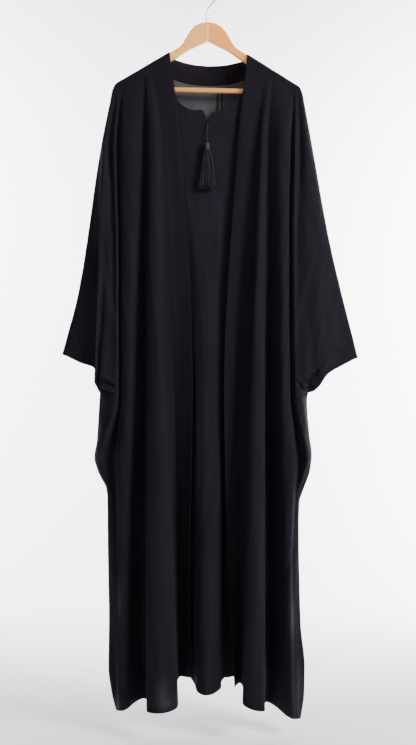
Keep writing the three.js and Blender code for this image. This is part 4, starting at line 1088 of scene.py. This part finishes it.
grain_group = make_grain_group()
ARM_SLOPE = 31
WOODS = {
    "hanger_arm_left": ("beech_left", -ARM_SLOPE, (1.0, 0.50, 0.12), (0.9, 0.38, 0.07)),
    # Painted shade: the right arm's colours are darker than the left's, though both arms are the same beech
    "hanger_arm_right": ("beech_right_painted_shade", ARM_SLOPE, (1.0, 0.40, 0.07), (0.85, 0.29, 0.04)),
    "hanger_bar": ("beech_bar", 0, (0.8, 0.36, 0.08), (0.62, 0.25, 0.05)),
}
for name, wood in WOODS.items():
    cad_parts[name].data.materials.clear()
    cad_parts[name].data.materials.append(wood_material(*wood))

# %% [markdown]
# ## The hook
#
# The hook is one length of plated wire. It rises from its hole in the left arm, leans over and bends round
# the rail. A rounder tube on the same path replaces the CAD solid.

# %% The hook
WIRE = 1.7
HOOK_BEND = 24.5
HOOK_SHANK = [(-3, -111.7), (-3, -93), (-3, -74), (2, -60), (12, -49)]
HOOK_FROM, HOOK_TO = -32, 205
BEND_KNOTS = 25
HOOK_POINTS = 140


def steel_material():
    """Plated wire: bright metal with faint marks along it."""
    material, tree, shader = new_material("plated_steel")
    marks = noise(tree, object_place(tree), 900.0, 3.0)
    give(tree, shader, Roughness=ranged(tree, marks, 0.3, 0.7, 0.16, 0.34), Metallic=1.0,
         Base_Color=mixed(tree, marks, (0.55, 0.55, 0.57), (0.72, 0.72, 0.74)))
    return material


turn = np.radians(np.linspace(HOOK_FROM, HOOK_TO, BEND_KNOTS))
bend = np.stack([HOOK_BEND * np.cos(turn), 0 * turn, WIRE - HOOK_BEND + HOOK_BEND * np.sin(turn)], axis=-1)
shank = np.array([(x, 0, z) for x, z in HOOK_SHANK])
hook_knots = np.concatenate([shank, bend])
hook_path = through(hook_knots, np.linspace(0, len(hook_knots) - 1, HOOK_POINTS)) * MM
hook = closed_mesh("hook", *tubes(hook_path[None], WIRE * MM, 20))
hook.data.materials.append(steel_material())
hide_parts("hanger_hook")
print("hook:", len(hook.data.polygons), "faces")

# %% [markdown]
# ## The hanging loop
#
# A narrow satin tape, sewn on behind the bar, hangs down as a small U. It is a ribbon along a curve, with a
# thin wall like the cloth's.

# %% The loop
TAPE = 0.9 * MM
LOOP = {"x": 27.5, "spread": 4.4, "width": 3.0, "top": (27.8, -234), "bottom": (20.9, -300)}


def loop_place(side, share):
    """A point of the loop's path: side is -1 or 1 for its legs, share goes from its top to its bottom."""
    depth, height = (a * (1 - share) + b * share for a, b in zip(LOOP["top"], LOOP["bottom"]))
    return LOOP["x"] + side * LOOP["spread"], depth, height


loop_knots = np.array([loop_place(*at) for at in
                       ((-1, 0), (-1, 0.5), (-0.9, 0.93), (0, 1), (0.9, 0.93), (1, 0.5), (1, 0))])
loop_path = through(loop_knots, np.linspace(0, 6, 73))
loop_along = np.gradient(loop_path, axis=0)
loop_side = np.cross(ACROSS, loop_along)
loop_side /= np.linalg.norm(loop_side, axis=-1, keepdims=True)
loop_across = np.linspace(-0.5, 0.5, 7) * LOOP["width"]
loop_grid = loop_path[:, None] + loop_side[:, None] * loop_across[None, :, None]
loop = cloth_piece("hanging_loop_tape", loop_grid * MM, FRONT, TAPE, {"painted_backlight": np.zeros(loop_grid.shape[:2])})
loop.data.materials.append(loop_tape)
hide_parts("hanging_loop")

# %% [markdown]
# ## The tassel
#
# A tassel is a bundle of viscose threads tied over a knot: a wound head and a skirt that spreads downwards.
# The head is a turned profile with fine ridges for its windings. The skirt is two hundred thin tubes, each
# with its own waver, that start inside the head.

# %% The thread's finish
def thread_material():
    """Viscose thread: near black, with a tone from lock to lock that is partly painted sheen, standing for
    the viscose's shine, a roughness that varies along it, and fine twist marks.
    """
    material, tree, shader = new_material("viscose_thread")
    place = object_place(tree)
    along = noise(tree, mapped(tree, place, Scale=(900, 900, 60)), 1.0, 2.0)
    # Painted sheen: the stored tone is lighter for the head, the cord and some locks, standing for shine
    tone_and_painted_sheen = math_node(tree, "MULTIPLY", stored(tree, "tone_and_painted_sheen"), ranged(tree, along, 0.3, 0.7, 0.6, 1.3))
    twist = node(tree, "ShaderNodeTexWave", {"bands_direction": "DIAGONAL"}, Vector=place, Scale=900.0,
                 Distortion=1.0).outputs["Fac"]
    give(tree, shader, Base_Color=mixed(tree, tone_and_painted_sheen, (0.0008, 0.0006, 0.001), (0.029, 0.0255, 0.034)),
         Roughness=ranged(tree, along, 0.2, 0.8, 0.38, 0.6),
         Normal=bumped(tree, math_node(tree, "MULTIPLY", twist, 0.0001), 0.6), Specular_IOR_Level=0.25,
         Specular_Tint=(0.86, 0.78, 1.0, 1))
    return material


viscose = thread_material()

# %% Head and skirt
TASSEL = {"x": -2, "depth": -17.5, "top": -370, "head": 15.5, "bottom": -477}
HEAD_PROFILE = [(0.4, 0), (2.2, -0.2), (3.9, -1.4), (5.0, -4), (5.5, -8), (5.4, -11), (4.7, -12), (5.3, -13),
                (5.5, -15.5), (4.4, -17.5), (0.4, -17.6)]
HEAD_SIDES, WINDINGS = 96, 24
THREADS = 210
THREAD_POINTS = 12
THREAD_SIDES = 5
THREAD_RADIUS = 0.5
LOCKS = 30
# Painted sheen: the head and the cord are lighter than most threads, for the silvery shine of the viscose
HEAD_TONE_AND_PAINTED_SHEEN, CORD_TONE_AND_PAINTED_SHEEN = 0.9, 0.8

profile = through(np.array([(r, 0, z) for r, z in HEAD_PROFILE], float), finer([1] * 10, 4))
around = 2 * np.pi * np.arange(HEAD_SIDES) / HEAD_SIDES
ridged = profile[:, None, 0] * (1 + 0.035 * np.cos(WINDINGS * around))
head_grid = np.stack([TASSEL["x"] + ridged * np.cos(around), TASSEL["depth"] + ridged * np.sin(around),
                      np.broadcast_to(TASSEL["top"] + profile[:, None, 2], ridged.shape)], axis=-1)
head_faces = ring_faces(1, *head_grid.shape[:2])

rng = np.random.default_rng(5)


def golden_disc(count):
    """Evenly spread places in a unit disc: radius sqrt(k / count), angle k golden angles."""
    k = np.arange(count)
    radius, angle = np.sqrt((k + 0.5) / count), k * np.pi * (3 - np.sqrt(5))
    return np.stack([radius * np.cos(angle), radius * np.sin(angle)], axis=-1)


# Threads cling together in locks: each goes part of the way to the middle of its lock as it falls
spots = golden_disc(THREADS)
locks = golden_disc(LOCKS) * 0.95
lock_of = np.argmin(np.linalg.norm(spots[:, None] - locks[None], axis=-1), axis=1)
down = np.linspace(0, 1, THREAD_POINTS)[None, :, None]
place = spots[:, None] + (locks[lock_of] - spots)[:, None] * 0.62 * down
place += rng.normal(0, 0.05, (LOCKS, 1, 2))[lock_of] * np.sin(np.pi * down * 1.3)
place += rng.normal(0, 0.035, (THREADS, 1, 2)) * np.sin(np.pi * down * rng.uniform(0.8, 2.2, (THREADS, 1, 1)))
half = np.array([4.4, 4.0]) * (1 - down**0.62) + np.array([20.0, 7.2]) * down**0.62
length = TASSEL["top"] - TASSEL["head"] + 3 - TASSEL["bottom"] - rng.uniform(0, 6.5, THREADS)
paths = np.concatenate([place * half, -length[:, None, None] * down], axis=-1)
paths += np.array([TASSEL["x"], TASSEL["depth"], TASSEL["top"] - TASSEL["head"] + 3])
thread_verts, thread_faces = tubes(paths * MM, THREAD_RADIUS * MM, THREAD_SIDES)
# A random tone for each lock, whose lighter locks also stand for silvery highlights: partly painted sheen
thread_tone_and_painted_sheen = rng.uniform(0.15, 1.0, LOCKS)[lock_of] ** 1.8 * rng.uniform(0.5, 1.3, THREADS)
head_verts = head_grid.reshape(-1, 3) * MM
shifted = [[corner + len(head_verts) for corner in face] for face in thread_faces]
tassel = closed_mesh("tassel_threads", np.concatenate([head_verts, thread_verts]), [*head_faces, *shifted])
tassel.data.materials.append(viscose)
add_numbers(tassel, "tone_and_painted_sheen", np.concatenate([np.full(len(head_verts), HEAD_TONE_AND_PAINTED_SHEEN),
                                            np.repeat(thread_tone_and_painted_sheen, THREAD_POINTS * THREAD_SIDES)]))
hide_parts("tassel")
print("tassel:", THREADS, "threads,", len(tassel.data.polygons), "faces")

# %% [markdown]
# The tassel hangs from the slit on a short cord of two plies. Each ply is a tube that winds round the
# cord's line.

# %% The cord
CORD_START, CORD_END = np.array([-1, -10.9, -325.0]), np.array([-2, -17.2, -369.6])
CORD_SAG = np.array([-0.3, -0.6, 0])
PLY_PITCH = 4.2
PLY_RADIUS = 0.62
PLY_OFF_LINE = 0.55
CORD_POINTS = 160

cord_knots = np.stack([CORD_START, (CORD_START + CORD_END) / 2 + CORD_SAG, CORD_END])
cord_line = through(cord_knots, np.linspace(0, 2, CORD_POINTS))
turns = 2 * np.pi * np.linspace(0, 1, CORD_POINTS) * np.linalg.norm(CORD_END - CORD_START) / PLY_PITCH
round_line = [np.stack([np.cos(turns + start), np.sin(turns + start), 0 * turns], axis=-1)
              for start in (0, np.pi)]
ply_paths = cord_line + PLY_OFF_LINE * np.stack(round_line)
cord = closed_mesh("tassel_cord_plies", *tubes(ply_paths * MM, PLY_RADIUS * MM, 10))
cord.data.materials.append(viscose)
add_numbers(cord, "tone_and_painted_sheen", np.full(len(cord.data.vertices), CORD_TONE_AND_PAINTED_SHEEN))
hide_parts("tassel_cord")

# %% [markdown]
# ## Sizes of the cloth pieces
#
# Nobody has measured this robe's own pieces. The cells above print the size and area of each, walked
# along the modelled cloth. The loop is sewn to the back, and the cord and tassel to the inner panel.

# %% [markdown]
# ## Studio
#
# The robe hangs in front of a pale sweep: a floor just below the hem that curves up into a wall. A large
# soft light stands to the right of the camera and a weaker one to the left. Two more light the wall, and
# the room's own pale light fills the rest, so that the black cloth shows its folds.

# %% Floor and backdrop
FLOOR_HEIGHT, FLOOR_FRONT = -1.712, -4.0
SWEEP_START, SWEEP_RADIUS, WALL_TOP, HALF_WIDTH = 1.3, 0.9, 2.5, 5


def sweep():
    """A flat floor, a quarter circle and a flat wall, carried straight across."""
    quarter = np.linspace(0, np.pi / 2, 24)
    profile = np.concatenate([
        [(FLOOR_FRONT, FLOOR_HEIGHT)],
        np.stack([SWEEP_START + SWEEP_RADIUS * np.sin(quarter),
                  FLOOR_HEIGHT + SWEEP_RADIUS * (1 - np.cos(quarter))], axis=-1),
        [(SWEEP_START + SWEEP_RADIUS, WALL_TOP)],
    ])
    across = np.linspace(-HALF_WIDTH, HALF_WIDTH, 3)
    return np.stack(np.broadcast_arrays(across[None, :], profile[:, :1], profile[:, 1:]), axis=-1)


def pale_material():
    """Matte pale paper, faintly mottled. From behind it is clear, so the robe's back can be seen."""
    material, tree, shader = new_material("studio_paper")
    mottle = noise(tree, object_place(tree), 0.8, 1.0)
    behind = node(tree, "ShaderNodeNewGeometry").outputs["Backfacing"]
    give(tree, shader, Base_Color=mixed(tree, mottle, (0.86, 0.835, 0.86), (0.88, 0.865, 0.885)),
         Roughness=0.95, Specular_IOR_Level=0.1, Alpha=math_node(tree, "SUBTRACT", 1.0, behind))
    return material


paper_grid = sweep()
paper_faces, _ = grid_faces(paper_grid)
paper_verts = paper_grid.reshape(-1, 3)
if facing(paper_verts, paper_faces)[2] < 0:
    paper_faces = paper_faces[:, ::-1]
backdrop = link_mesh("studio_sweep", paper_verts, paper_faces, rides=False)
backdrop.data.materials.append(pale_material())

# %% Lights
def soft_light(name, place, aim, size, power, colour=(1, 1, 1)):
    """A square area light that looks at a point."""
    light = bpy.data.lights.new(name, "AREA")
    light.size, light.energy, light.color = size, power, colour
    lamp = bpy.data.objects.new(name, light)
    bpy.context.scene.collection.objects.link(lamp)
    lamp.location = place
    away = Vector(place) - Vector(aim)
    lamp.rotation_euler = away.to_track_quat("Z", "Y").to_euler()
    return lamp


soft_light("key_light", (2.35, -1.65, 0.45), (0, 0, -0.7), 1.0, 168)
soft_light("fill_light", (-0.9, -2.6, 0.3), (0, 0, -0.8), 1.2, 16, (0.97, 0.98, 1))
for side, name, height, power in ((-1, "left_wall_light", -0.1, 235), (1, "right_wall_light", -0.35, 360)):
    soft_light(name, (1.9 * side, 1.15, height), (1.5 * side, 2.2, height - 0.3), 1.6, power)
world = bpy.data.worlds.new("pale_room")
bpy.context.scene.world = world
world.use_nodes = True
give(world.node_tree, world.node_tree.nodes["Background"], _0=(0.95, 0.95, 0.97, 1), _1=0.32)
